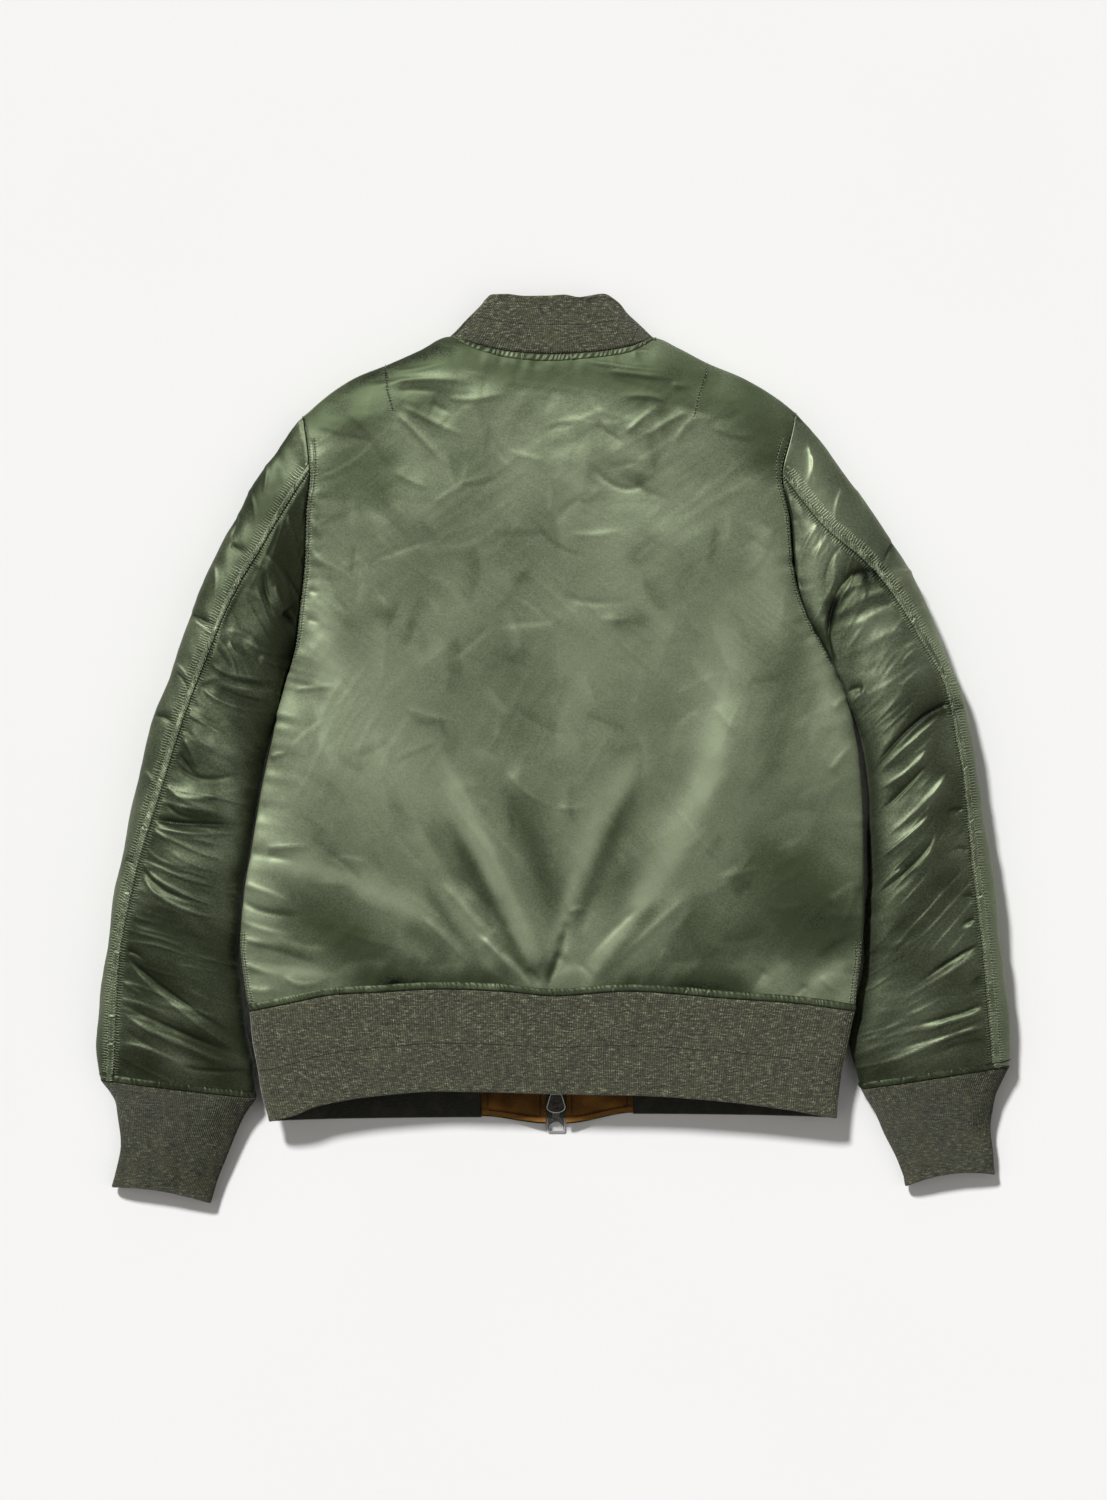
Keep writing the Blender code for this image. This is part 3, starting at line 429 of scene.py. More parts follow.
LEFT_SLEEVE_CREASES = table(STROKE, """
# below the armhole
234 512 234 526 230 541 4 3 -2.4
230 543 240 550 252 549 3 4 -2.0
242 478 252 500 256 528 7 5 1.2
288 513 292 530 300 552 3 4 1.5
262 556 281 572 291 604 4 3 2.2
252 566 272 572 281 592 3 4 1.5
266 570 267 594 278 617 3 3 -2.6
276 584 280 600 288 612 3 3 1.6
283 611 291 619 300 626 5 4 -4.5
240 590 262 600 280 622 9 5 1.3
186 611 206 622 226 631 3 3 -3.0
190 618 206 628 222 638 3 4 1.4
226 631 249 636 262 652 3 3 2.0
230 640 240 656 256 657 3 3 1.8
243 640 268 652 296 656 6 3 2.4
258 657 276 664 292 668 4 3 2.4
213 661 232 675 288 681 5 3 2.8
216 668 240 683 286 686 3 3 -2.4
200 684 219 679 240 684 3 3 1.6
216 681 248 690 284 692 4 3 2.2
214 686 250 700 282 702 5 5 -2.4
203 689 232 705 280 714 5 3 2.8
# down to the elbow
173 664 182 670 192 686 4 4 1.8
176 672 184 680 190 692 3 3 -1.6
153 716 164 717 178 726 3 3 -2.2
184 738 192 752 197 770 5 3 2.0
190 728 210 745 232 748 9 5 1.2
180 750 190 768 205 778 4 4 -1.8
205 736 236 752 268 748 12 6 1.2
176 762 208 779 264 766 5 6 -2.2
168 776 190 798 262 783 7 5 2.2
172 792 200 806 240 812 6 5 1.4
166 800 182 815 212 820 4 4 -1.4
152 820 196 824 258 826 6 3 -4.2
150 826 200 833 256 830 3 7 2.8
152 828 164 836 175 848 3 3 1.8
145 846 166 862 200 866 4 4 1.4
143 858 166 884 240 913 4 4 2.4
143 863 160 886 200 904 3 4 -2.0
141 868 172 903 244 922 5 5 2.2
170 850 204 868 248 872 10 6 1.0
# above the cuff
126 952 136 953 148 962 3 3 -2.4
134 905 180 945 243 965 20 14 -1.6
124 950 160 985 250 1046 5 4 -3.4
128 962 168 1000 250 1062 5 4 2.2
122 984 136 990 146 1002 4 4 1.4
120 1002 168 1026 252 1062 4 4 -2.4
120 1010 166 1038 246 1068 5 4 2.6
152 1004 196 1012 236 1034 9 6 1.4
121 1024 150 1046 186 1062 5 5 -1.4
119 1044 152 1050 190 1070 3 3 2.2
180 1066 214 1072 252 1070 3 3 -2.2
# outer panel
262 452 266 474 262 500 6 5 1.3
212 562 216 580 212 600 5 5 1.2
142 770 150 777 160 790 4 3 1.4
124 858 130 862 140 872 3 3 -1.6
108 930 116 936 124 950 3 4 1.3
""")
RIGHT_SLEEVE_CREASES = table(STROKE, """
# the cap, down to the elbow fold
808 442 814 468 818 494 6 3 1.8
814 452 812 470 806 486 4 3 1.3
845 484 836 512 840 534 7 5 1.4
800 470 800 500 806 530 6 6 1.0
824 520 808 540 800 566 5 3 2.0
834 528 818 552 812 580 4 4 1.5
842 544 830 562 824 588 4 4 -1.8
896 538 886 556 877 568 4 4 -3.4
868 556 874 562 880 566 3 3 -2.2
914 571 890 574 872 580 4 3 2.0
880 574 850 576 833 608 6 5 -5.0
838 594 828 630 837 674 4 5 -4.5
872 584 846 590 838 612 4 4 2.4
894 592 866 598 842 610 3 4 2.4
898 604 872 606 850 622 4 4 -1.8
902 612 878 614 846 634 4 5 2.0
872 618 858 634 844 656 5 5 1.4
912 632 888 634 862 652 6 5 1.6
926 646 908 656 900 670 4 4 1.6
932 662 912 676 896 692 4 5 1.5
826 620 832 645 842 668 5 3 1.6
864 688 852 690 844 698 4 4 -3.0
868 692 856 698 850 716 3 4 2.2
# long folds from the seam down to the body
966 700 915 722 866 782 6 4 -4.8
944 714 904 748 866 784 3 6 2.8
928 744 908 770 864 796 3 4 2.6
938 728 922 748 904 756 5 5 1.2
926 764 902 790 866 824 5 5 -2.4
957 772 934 792 926 824 7 4 1.6
948 770 916 810 866 850 4 7 2.2
930 814 902 840 864 870 4 4 2.8
935 832 912 864 868 900 5 4 -2.2
936 830 922 862 900 874 7 4 1.6
906 868 884 884 866 916 4 4 2.6
964 810 952 810 940 816 3 3 -2.6
966 814 954 816 944 824 3 4 1.5
969 849 956 848 944 854 3 3 -2.8
970 853 958 855 948 862 3 4 1.6
976 897 966 896 958 900 3 3 -2.0
977 921 968 921 958 928 3 3 -2.8
978 926 968 927 960 934 3 4 1.6
950 880 925 905 890 920 12 10 1.0
# above the cuff
981 943 944 964 906 992 5 3 -3.6
982 948 946 974 900 1000 3 7 2.4
986 975 976 980 967 991 3 3 -2.4
991 1001 950 1016 888 1030 3 4 -2.8
990 1006 948 1022 882 1038 3 7 2.4
992 1016 940 1036 866 1056 5 5 -1.8
993 1027 946 1038 864 1076 3 5 3.0
990 1040 950 1048 900 1068 5 6 -1.4
# outer panel
914 572 902 578 892 590 4 4 1.8
925 602 916 612 902 622 4 4 1.6
952 668 942 682 936 694 5 4 1.6
966 704 956 710 944 718 4 4 -2.4
984 806 976 812 966 822 4 4 1.2
856 486 862 506 866 524 5 5 1.2
""")
FRONT_CREASES = table(STROKE, """
330 470 380 560 400 660 20 16 1.6
470 420 500 520 490 620 18 20 1.4
640 430 620 540 650 640 18 16 1.6
760 480 720 570 700 650 18 18 1.5
300 760 380 780 470 760 12 10 1.4
620 800 700 790 800 830 12 12 1.4
420 880 440 940 430 1000 7 7 1.2
690 900 670 950 680 1005 7 7 1.2
340 930 350 970 345 1010 6 6 1.0
""")
LEFT_DART = table("x y", """
385 362
386 374
388 392
394 413
""")
RIGHT_DART = table("x y", """
708 360
706 376
700 395
694 419
""")

# Strokes of painted sheen and painted shade on the cloth. In each set the first ones are broad.
TONE = "x0 y0 xm ym x1 y1 left right light"

# painted shade in the valleys of the folds at the middle of the hem
# painted shade: under the collar, at the shoulders, in the middle and at the lower corners
# painted sheen and painted shade at the lower corners
# painted sheen on the bands that run together at the middle of the hem
# painted sheen, from the neck down
BACK_SHEEN_AND_SHADE = table(TONE, """
# darker cloth: under the collar, at the shoulders, in the middle and at the lower corners
420 352 560 372 720 362 19 19 -0.46
282 446 365 378 500 336 18 16 -0.42
330 395 420 352 500 350 14 14 -0.20
706 380 760 425 780 500 34 28 -0.40
380 390 350 450 352 530 30 26 -0.24
405 400 430 425 452 446 5 9 -0.14
512 640 514 700 520 770 30 22 -0.12
500 520 512 545 530 570 14 14 -0.08
620 564 640 552 660 530 9 9 -0.14
606 622 628 624 652 610 11 11 -0.20
790 580 785 680 762 800 16 20 -0.20
720 820 796 880 860 990 54 46 -0.40
670 990 760 935 880 900 38 36 -0.30
700 880 680 940 640 985 20 12 -0.26
262 900 325 925 400 995 34 30 -0.40
340 988 440 988 540 994 17 17 -0.80
575 994 660 990 780 994 16 16 -0.70
300 800 330 820 350 850 12 12 -0.06
# darker valleys of the folds at the middle of the hem
444 810 490 900 534 985 6 10 -0.46
420 870 455 930 500 984 5 8 -0.26
496 770 535 850 560 950 18 13 -0.34
650 765 605 850 570 950 10 7 -0.34
665 890 625 940 590 990 9 6 -0.34
300 438 352 410 470 396 15 15 -0.26
290 446 302 424 322 404 12 12 -0.20
402 918 425 938 455 958 12 10 -0.25
402 378 436 380 480 378 9 9 -0.20
605 404 670 398 745 402 18 16 -0.32
655 378 690 376 730 382 14 12 -0.30
440 440 480 480 530 470 26 26 -0.12
385 440 388 480 384 525 20 20 -0.18
490 962 525 970 565 966 12 10 -0.36
630 790 626 870 614 950 16 14 -0.20
426 800 443 860 462 920 18 16 -0.15
# lighter cloth, from the neck down
755 510 770 590 782 670 16 14 0.26
286 866 310 876 345 882 12 10 0.16
625 540 612 630 588 710 34 30 0.15
504 388 512 450 512 540 24 20 0.14
572 388 578 460 580 560 24 22 0.14
400 372 440 376 490 372 4 5 0.24
585 366 612 368 650 364 4 4 0.20
598 438 625 455 655 462 14 16 0.16
560 540 640 520 730 480 34 30 0.12
700 500 690 640 705 760 36 36 0.07
316 560 322 630 334 710 14 12 0.34
276 760 262 840 246 950 15 10 0.12
330 600 385 740 430 870 50 44 0.15
556 630 562 700 556 770 26 5 0.16
768 540 728 660 700 830 19 22 0.20
806 620 826 690 842 762 14 9 0.22
# lighter bands that run together at the middle of the hem
430 730 488 850 550 985 6 13 0.32
392 780 448 880 512 980 5 12 0.22
240 862 345 878 450 935 12 8 0.30
420 912 462 945 508 984 4 6 0.16
650 735 600 820 566 910 8 14 0.28
580 860 560 930 550 985 6 6 0.26
498 950 516 966 532 988 3 3 0.40
566 920 556 955 545 992 3 4 -0.55
556 975 580 966 604 970 4 4 0.30
722 690 700 800 604 965 8 16 0.34
655 870 622 930 578 985 7 10 0.30
300 905 350 942 440 990 22 16 -0.16
470 925 498 954 526 986 2 3 0.36
# lower corners
238 880 262 888 294 902 2 5 0.30
240 898 268 912 304 914 5 2 -0.28
238 918 262 928 296 936 2 5 0.28
240 944 272 948 322 964 5 2 -0.30
240 960 282 968 334 976 2 5 0.26
826 905 842 890 858 880 2 5 0.22
812 960 835 945 858 930 5 2 -0.22
246 984 290 970 340 977 5 5 0.32
244 940 260 938 285 946 4 4 0.14
760 992 774 972 796 962 6 7 0.24
804 990 826 974 852 958 7 8 0.38
""")
# Strokes of painted sheen and painted shade on the left sleeve.
LEFT_SHEEN_AND_SHADE = table(TONE, """
298 470 294 560 280 720 20 24 -0.20
318 400 268 466 228 580 26 30 -0.24
262 520 240 560 226 630 14 14 -0.10
226 600 212 650 202 700 12 10 -0.08
240 710 232 860 236 1010 12 12 0.18
226 530 212 580 194 640 12 10 -0.20
108 970 120 1020 150 1064 22 20 0.20
150 1050 190 1062 226 1072 12 12 0.18
150 890 175 960 200 1010 36 30 0.09
196 780 205 790 226 796 12 10 -0.12
205 900 200 940 205 990 40 40 -0.12
190 1060 210 1075 240 1090 12 12 -0.06
160 760 200 795 262 790 14 16 0.08
190 725 220 745 262 752 10 10 0.16
150 830 190 850 250 850 10 10 0.14
150 880 190 910 240 930 9 9 0.10
130 960 170 1000 240 1040 9 9 0.12
130 1040 165 1055 200 1080 14 12 0.16
255 560 270 590 280 620 6 6 0.10
220 670 250 690 285 690 5 5 0.14
290 430 212 590 150 770 10 14 0.12
150 740 118 890 104 1060 10 14 0.14
""")
# Strokes of painted sheen and painted shade on the right sleeve.
RIGHT_SHEEN_AND_SHADE = table(TONE, """
800 440 812 500 820 560 16 14 0.16
792 425 814 520 850 610 20 20 0.24
884 590 882 650 892 720 26 26 0.20
798 530 806 590 818 650 14 12 0.24
915 600 918 650 928 710 16 14 0.16
938 690 948 735 958 785 12 12 0.18
948 780 965 880 972 1010 18 14 0.10
876 940 885 990 892 1046 24 24 0.08
866 1054 930 1052 992 1046 13 13 0.18
835 520 822 550 812 585 10 8 0.14
905 590 880 620 850 650 18 18 0.24
912 600 940 660 955 700 12 14 0.14
900 660 885 690 875 730 22 20 0.04
950 720 915 750 872 800 14 14 0.14
950 770 915 810 870 860 14 14 0.16
930 860 905 885 875 910 14 14 0.08
955 830 940 880 935 940 16 18 -0.06
960 950 925 985 880 1020 14 14 0.12
950 1000 915 1030 880 1050 14 14 0.14
896 566 868 576 850 590 6 4 -0.34
852 588 836 604 833 640 5 5 -0.40
800 600 822 640 842 680 8 8 -0.14
962 700 912 730 866 778 4 4 -0.30
960 880 930 960 925 1050 30 34 0.07
850 430 920 560 990 800 12 16 0.08
985 780 1000 900 1008 1040 9 12 0.10
""")

# Directions of the drag lines, in degrees, from the shoulders down
BACK_SLANTS = table("down turn", """
-330 -12
-250 35
-120 -40
0 62
90 -55
200 50
""")
LEFT_SLANTS = table("down turn", """
-250 70
-120 -60
-40 -30
60 -14
160 -18
290 -22
""")
RIGHT_SLANTS = table("down turn", """
-250 80
-160 62
-90 24
0 45
140 48
210 32
290 18
""")


# ---------------------------------------------------------------- reading tables and blending


def smooth(at: Array | float, known: Array, values: Array) -> Array:
    """Reads a monotone cubic through known points.

    It has Hermite pieces, whose tangents are weighted harmonic means of the slopes on both
    sides, and level where the slope changes sign.

    Args:
        at: where to read it.
        known: rising positions.
        values: the value at each position.

    Returns:
        The values at `at`.
    """
    at = np.clip(np.asarray(at, float), known[0], known[-1])
    step = np.diff(known)
    slope = np.diff(values) / step
    tangent = np.zeros(len(known))
    tangent[0], tangent[-1] = slope[0], slope[-1]
    for i in range(1, len(known) - 1):
        if slope[i - 1] * slope[i] > 0:
            before, after = 2 * step[i] + step[i - 1], step[i] + 2 * step[i - 1]
            tangent[i] = (before + after) / (before / slope[i - 1] + after / slope[i])
    i = np.clip(np.searchsorted(known, at, side="right") - 1, 0, len(step) - 1)
    q = (at - known[i]) / step[i]
    return (
        values[i] * (1 + 2 * q) * (1 - q) ** 2
        + tangent[i] * step[i] * q * (1 - q) ** 2
        + values[i + 1] * q**2 * (3 - 2 * q)
        + tangent[i + 1] * step[i] * q**2 * (q - 1)
    )


def read(rows: Table, at: Array | float, *columns: str) -> list[Array]:
    """Reads columns of a table at positions along its first column."""
    known = next(iter(rows.values()))
    return [smooth(at, known, rows[name]) for name in columns]


def edge_points(rows: Table, ring: Array) -> tuple[Array, Array]:
    """Plan points of a sleeve's outer and inner edges."""
    edges = read(rows, ring, "outer_x", "outer_y", "inner_x", "inner_y")
    return np.stack(edges[:2], axis=1), np.stack(edges[2:], axis=1)


def mix(a: Array | float, b: Array | float, share: Array | float) -> Array:
    """Blends from a to b in a straight line."""
    return a + (b - a) * share


def ease(q: Array | float) -> Array:
    """Rises from 0 to 1 with level ends: q squared times (3 - 2q)."""
    q = np.clip(q, 0, 1)
    return q * q * (3 - 2 * q)


def bell(distance: Array, width: Array | float) -> Array:
    """Falls off from 1 on both sides: e to the minus (distance / width) squared."""
    return np.exp(-((distance / width) ** 2))


def dome(across: Array, fullness: float) -> Array:
    """Height of a full section: a superellipse from 0 at both edges to 1 between them."""
    return np.clip(1 - np.abs(2 * across - 1) ** fullness, 0, 1) ** (1 / fullness)


def underside(across: Array) -> Array:
    """How far the cloth has sunk to the surface: 0 at an edge, 1 where it lies flat."""
    return np.minimum(1, FLOOR_SPREAD * np.sqrt(np.clip(1 - (2 * across - 1) ** 4, 0, 1)))


def between_ends(rows: Table, name: str, share: Array) -> Array:
    """The straight line between the first and last values of a column."""
    return mix(rows[name][0], rows[name][-1], share)


def grid_from(*parts: Array) -> Array:
    """Points from their x, y and z, spread over one grid."""
    return np.stack(np.broadcast_arrays(*parts), axis=-1)


def zip_lift(x: Array, y: Array) -> Array:
    """Height that a slider gives the cloth beside it: a bell across, eased in along the zip."""
    low, high = (ease((y - first) / (last - first)) for first, last in (LOW_LIFT, HIGH_LIFT))
    return END_LIFT * np.maximum(low, high) * bell(x - ZIP_X, LIFT_WIDTH)


def plan_line(rows: Table) -> Array:
    """Turns x and y in layout units into points on the plan."""
    x, y = (rows["x"] - LAYOUT_ORIGIN[0]), (LAYOUT_ORIGIN[1] - rows["y"])
    return np.stack([x / LAYOUT_UNITS, y / LAYOUT_UNITS], axis=1)


def gaps(points: Array, axis: int = 0) -> Array:
    """Distances between neighbouring points along one axis."""
    return np.linalg.norm(np.diff(points, axis=axis), axis=-1)


def from_zero(steps: Array, axis: int = 0) -> Array:
    """Running sums, with a zero before the first."""
    return np.insert(np.cumsum(steps, axis=axis), 0, 0.0, axis=axis)


def even_steps(line: Array, known: Array, steps: int) -> Array:
    """Parameters that cut a line of points into steps of equal length."""
    length = from_zero(gaps(line))
    return np.interp(np.linspace(0, length[-1], steps + 1), length, known)


# ---------------------------------------------------------------- wrinkles


def ripple(at: Array, seed: int) -> Array:
    """Uneven waves along a line: random values from -1 to 1 at whole numbers, eased between.

    Args:
        at: places along the line, one wave to a unit or two.
        seed: picks the values.

    Returns:
        The height at each place.
    """
    values = np.random.default_rng(seed).uniform(-1, 1, LINE_VALUES)
    whole = np.floor(at).astype(int)
    return mix(values[whole % LINE_VALUES], values[(whole + 1) % LINE_VALUES], ease(at - whole))


def waves(x: Array, y: Array, size: float, seed: int, stretch: float = 1.0) -> Array:
    """Soft uneven ground: the sum of plane waves of about one size in random directions.

    Args:
        x, y: plan positions.
        size: the usual wavelength.
        seed: picks the directions and phases.
        stretch: how much longer the waves are along Y.

    Returns:
        Heights of about -1 to 1.
    """
    random = np.random.default_rng(seed)
    angles, phases = (random.uniform(0, 2 * np.pi, PLANE_WAVES) for _ in range(2))
    total = np.zeros(np.broadcast(x, y).shape)
    for angle, phase, scale in zip(angles, phases, random.uniform(0.7, 1.5, PLANE_WAVES)):
        turn = 2 * np.pi / (size * scale)
        total += np.cos(turn * (x * math.cos(angle) + y * math.sin(angle) / stretch) + phase)
    return total / math.sqrt(PLANE_WAVES)


def cloudy(u: Array, v: Array, seed: int) -> Array:
    """Smooth uneven ground on two axes: random values at whole numbers, eased between.

    Args:
        u, v: places on the two axes.
        seed: picks the values.

    Returns:
        Heights from -1 to 1.
    """
    size = CLOUD_VALUES
    values = np.random.default_rng(seed).uniform(-1, 1, (size, size))
    i, j = np.floor(u).astype(int), np.floor(v).astype(int)
    share = ease(u - i)
    near, far = (
        mix(values[i % size, k % size], values[(i + 1) % size, k % size], share) for k in (j, j + 1)
    )
    return mix(near, far, ease(v - j))


def drag_lines(along: Array, across: Array, size: float, seed: int) -> Array:
    """Fine wrinkles that run with `along`: crests where uneven ground passes through zero.

    Args:
        along, across: millimetres with and across the wrinkles.
        size: the usual distance between them.
        seed: picks them.

    Returns:
        Heights from 0 to 1, fading in and out in patches.
    """
    bend = across + 0.6 * size * cloudy(along / (6 * size), across / (6 * size), seed + 1)
    crests = bell(cloudy(along / (11 * size), bend / (1.3 * size), seed), 0.22)
    return crests * ease(0.5 + 0.9 * cloudy(along / (6 * size), across / (5 * size), seed + 2))


def scattered_marks(count: int, seed: int, depth: float) -> Table:
    """Small random strokes over the back: sharp on one side and soft on the other.

    Low down they run towards the middle of the hem, and above that at any slant.

    Args:
        count: how many.
        seed: picks them.
        depth: the largest height, up or down.

    Returns:
        A table of strokes.
    """
    random = np.random.default_rng(seed)
    x, y = random.uniform(*MARKS_X, count), random.uniform(*MARKS_Y, count)
    gathered = ease((y - 700) / 120)
    towards = np.arctan2(HEM_MIDDLE[1] - y, HEM_MIDDLE[0] - x) + random.normal(0, 0.2, count)
    angle = np.where(random.random(count) < gathered, towards, random.uniform(0, np.pi, count))
    half = random.uniform(14, 38, count)
    across, down = half * np.cos(angle), half * np.sin(angle)
    bend = random.uniform(-0.3, 0.3, count)
    sharp, soft = random.uniform(1.6, 3.2, count), half * random.uniform(0.18, 0.42, count)
    turned = random.random(count) < 0.5
    columns = (
        x - across, y - down, x - bend * down, y + bend * across, x + across, y + down,
        np.where(turned, sharp, soft), np.where(turned, soft, sharp),
        depth * random.uniform(0.35, 1.0, count) * random.choice([-1.0, 1.0], count),
    )
    return dict(zip(STROKE.split(), columns))


def near_line(line: Array, x: Array, y: Array, reach: float) -> Array:
    """Whether plan positions lie in the box round a line, wider by `reach` on every side."""
    (left, low), (right, high) = line.min(axis=0) - reach, line.max(axis=0) + reach
    return (x > left) & (x < right) & (y > low) & (y < high)


def nearest(line: Array, x: Array, y: Array) -> tuple[Array, Array, Array]:
    """Finds the nearest point of a polyline.

    Args:
        line: its points on the plan, one row each.
        x, y: positions, as flat arrays.

    Returns:
        The distance, the length along the line, and the distance with its sign: positive to the
        left of the line's direction.
    """
    best = np.full(x.shape, np.inf)
    along, signed = np.zeros(x.shape), np.zeros(x.shape)
    start = 0.0
    for (ax, ay), (bx, by) in zip(line[:-1], line[1:]):
        length = math.hypot(bx - ax, by - ay)
        ux, uy = (bx - ax) / length, (by - ay) / length
        t = np.clip((x - ax) * ux + (y - ay) * uy, 0, length)
        dx, dy = x - ax - t * ux, y - ay - t * uy
        distance = np.hypot(dx, dy)
        closer = distance < best
        best = np.where(closer, distance, best)
        along = np.where(closer, start + t, along)
        signed = np.where(closer, np.sign(ux * dy - uy * dx) * distance, signed)
        start += length
    return best, along, signed


def stroke_heights(
    strokes: Table, x: Array, y: Array, crest: float = 0.7, rise: float = 0.2, fall: float = 0.6
) -> Array:
    """Sums the strokes of a table at plan positions.

    A stroke is a curve through its three points. Across it the height falls off as a sharp crest
    on a soft bell, with a width of its own on each side, and a wide stroke has less of the crest.
    Along it, it rises fast and dies away slowly.

    Args:
        strokes: the table.
        x, y: plan positions.
        crest: how much of a narrow stroke's height is in its crest.
        rise, fall: shares of its length where it rises and dies away.

    Returns:
        The sum of their heights.
    """
    total = np.zeros(x.shape)
    share = np.linspace(0, 1, STROKE_STEPS + 1)[:, None]
    for row in zip(*strokes.values()):
        start, middle, end = plan_line({"x": np.array(row[0:6:2]), "y": np.array(row[1:6:2])})
        left, right, height = row[6:]
        pull = 2 * middle - (start + end) / 2
        line = (1 - share) ** 2 * start + 2 * share * (1 - share) * pull + share**2 * end
        sharp = crest * min(1.0, max(0.0, (WIDE_STROKE - max(left, right)) / CREST_FADE))
        near = near_line(line, x, y, 2.6 * (1 + sharp) * max(left, right))
        if near.any():
            distance, along, signed = nearest(line, x[near], y[near])
            q = along / gaps(line).sum()
            swell = ease(q / rise) * ease((1 - q) / fall)
            width = np.where(signed > 0, left, right) * (0.5 + 0.5 * swell)
            shape = 0.85 * (1 - sharp) * bell(distance, (1 + sharp) * width)
            total[near] += height * swell * (shape + sharp * bell(distance, CREST_WIDTH * width + 1.0))
    return total


@dataclass(frozen=True)
class Gathers:
    """Puckers drawn up along a seam: uneven ridges across it, dying away from it.

    The height is a ripple along the seam times exp(-(distance / reach) to the power 1.4), where
    the reach itself is uneven along the seam.
    """

    line: Array
    spacing: float
    reach: float
    height: float
    seed: int

    def heights(self, x: Array, y: Array) -> Array:
        """Works out the ridges.

        Args:
            x, y: plan positions.

        Returns:
            Heights there.
        """
        total = np.zeros(x.shape)
        near = near_line(self.line, x, y, 3 * self.reach)
        if near.any():
            distance, along, _ = nearest(self.line, x[near], y[near])
            pitch = self.spacing
            drift = along + 0.5 * pitch * ripple(along / (4 * pitch), self.seed + 1)
            uneven = 0.45 + 0.55 * np.abs(ripple(along / (1.7 * pitch), self.seed + 2))
            strength = 0.4 + 0.6 * np.abs(ripple(along / (6 * pitch), self.seed + 3))
            ridges = self.height * strength * ripple(drift / pitch, self.seed)
            total[near] = ridges * np.exp(-((distance / (self.reach * uneven)) ** 1.4))
        return total


def edge_distance(grid: Array) -> Array:
    """Length along the cloth from each point to the nearest side of its panel."""
    v, u = from_zero(gaps(grid)), from_zero(gaps(grid, 1), 1)
    return np.minimum.reduce([u, u[:, -1:] - u, v, v[-1:] - v])


@dataclass(frozen=True)
class Wrinkles:
    """What lifts cloth off its skin: creases on both sides, gathers at seams and soft swells."""

    above: Table | None = None
    below: Table | None = None
    gathers: tuple[Gathers, ...] = ()
    swell: float = 0.7
    swell_size: float = 80.0
    crumple: float = 0.12
    crumple_size: float = 15.0
    crease: float = 1.0
    drag: float = 0.0
    drag_size: float = 9.0
    slants: Table | None = None
    marks: Table | None = None
    seed: int = 1

    def relief(self, x: Array, y: Array) -> Array:
        """Adds up the drawn creases, the drag lines and the small marks.

        Args:
            x, y: plan positions.

        Returns:
            Heights there.
        """
        height = np.zeros(x.shape)
        if self.above is not None:
            height += self.crease * stroke_heights(self.above, x, y, 0.5)
        if self.slants is not None:
            height += self.drag * self.drag_relief(x, y)
        if self.marks is not None:
            height += stroke_heights(self.marks, x, y, 0.3, 0.3, 0.3)
        return height

    def drag_relief(self, x: Array, y: Array) -> Array:
        """Lays drag lines along each slant, fading into the next one's down the cloth.

        Args:
            x, y: plan positions.

        Returns:
            Heights there.
        """
        total = np.zeros(x.shape)
        downs, turns = self.slants.values()
        for index, turn in enumerate(np.radians(turns)):
            share = np.interp(-y, downs, np.arange(len(downs)) == index)
            along, across = x * np.cos(turn) + y * np.sin(turn), y * np.cos(turn) - x * np.sin(turn)
            seed = self.seed + 2 + 10 * index
            lines = drag_lines(along, across, self.drag_size, seed)
            lines += 0.6 * drag_lines(along, across, 0.55 * self.drag_size, seed + 1)
            total += share**0.7 * lines
        return total

    def lift(self, grid: Array, margin: float = 7.0, dip: float = 0.8) -> Array:
        """Moves a skin's points out along their normals.

        Args:
            grid: points of the skin.
            margin: how far from the panel's sides creases reach their height.
            dip: how deep the cloth is drawn in at the seams.

        Returns:
            The moved points, never under the surface that the garment lies on.
        """
        normals = grid_normals(grid)
        x, y = grid[..., 0], grid[..., 1]
        up = ease(0.5 + normals[..., 2] / 0.6)
        height = self.swell * waves(x, y, self.swell_size, self.seed)
        height += self.crumple * waves(x, y, self.crumple_size, self.seed + 1)
        height += up * self.relief(x, y)
        if self.below is not None:
            height += (1 - up) * stroke_heights(self.below, x, y)
        gathered = sum((g.heights(x, y) for g in self.gathers), np.zeros(x.shape)) * up
        edge = edge_distance(grid)
        inside = ease(edge / margin)
        move = height * inside + gathered * (0.35 + 0.65 * inside) - dip * bell(edge, 3)
        return above_floor(grid + normals * move[..., None])


# ---------------------------------------------------------------- grids and meshes


def above_floor(points: Array, clearance: float = FLOOR_CLEARANCE) -> Array:
    """Holds points up off the surface that the garment lies on, in place."""
    points[..., 2] = np.maximum(points[..., 2], clearance)
    return points


def unit(vectors: Array) -> Array:
    """Vectors of length one."""
    return vectors / np.maximum(np.linalg.norm(vectors, axis=-1, keepdims=True), TINY)


def grid_normals(grid: Array, closed: bool = False) -> Array:
    """Finds unit normals: the cross product of a grid's steps down the rows and across them.

    Args:
        grid: points in rows and columns.
        closed: whether the last column is the first one again.

    Returns:
        A normal for each point.
    """
    if closed:
        grid = np.concatenate([grid[:, -2:-1], grid, grid[:, 1:2]], axis=1)
    normal = unit(np.cross(np.gradient(grid, axis=0), np.gradient(grid, axis=1)))
    return normal[:, 1:-1] if closed else normal


def lengths(grid: Array) -> Array:
    """Lengths across and down a grid, each the same along its whole column or row."""
    across, down = gaps(grid, 1).mean(axis=0), gaps(grid).mean(axis=1)
    return grid_from(from_zero(across)[None], from_zero(down)[:, None])


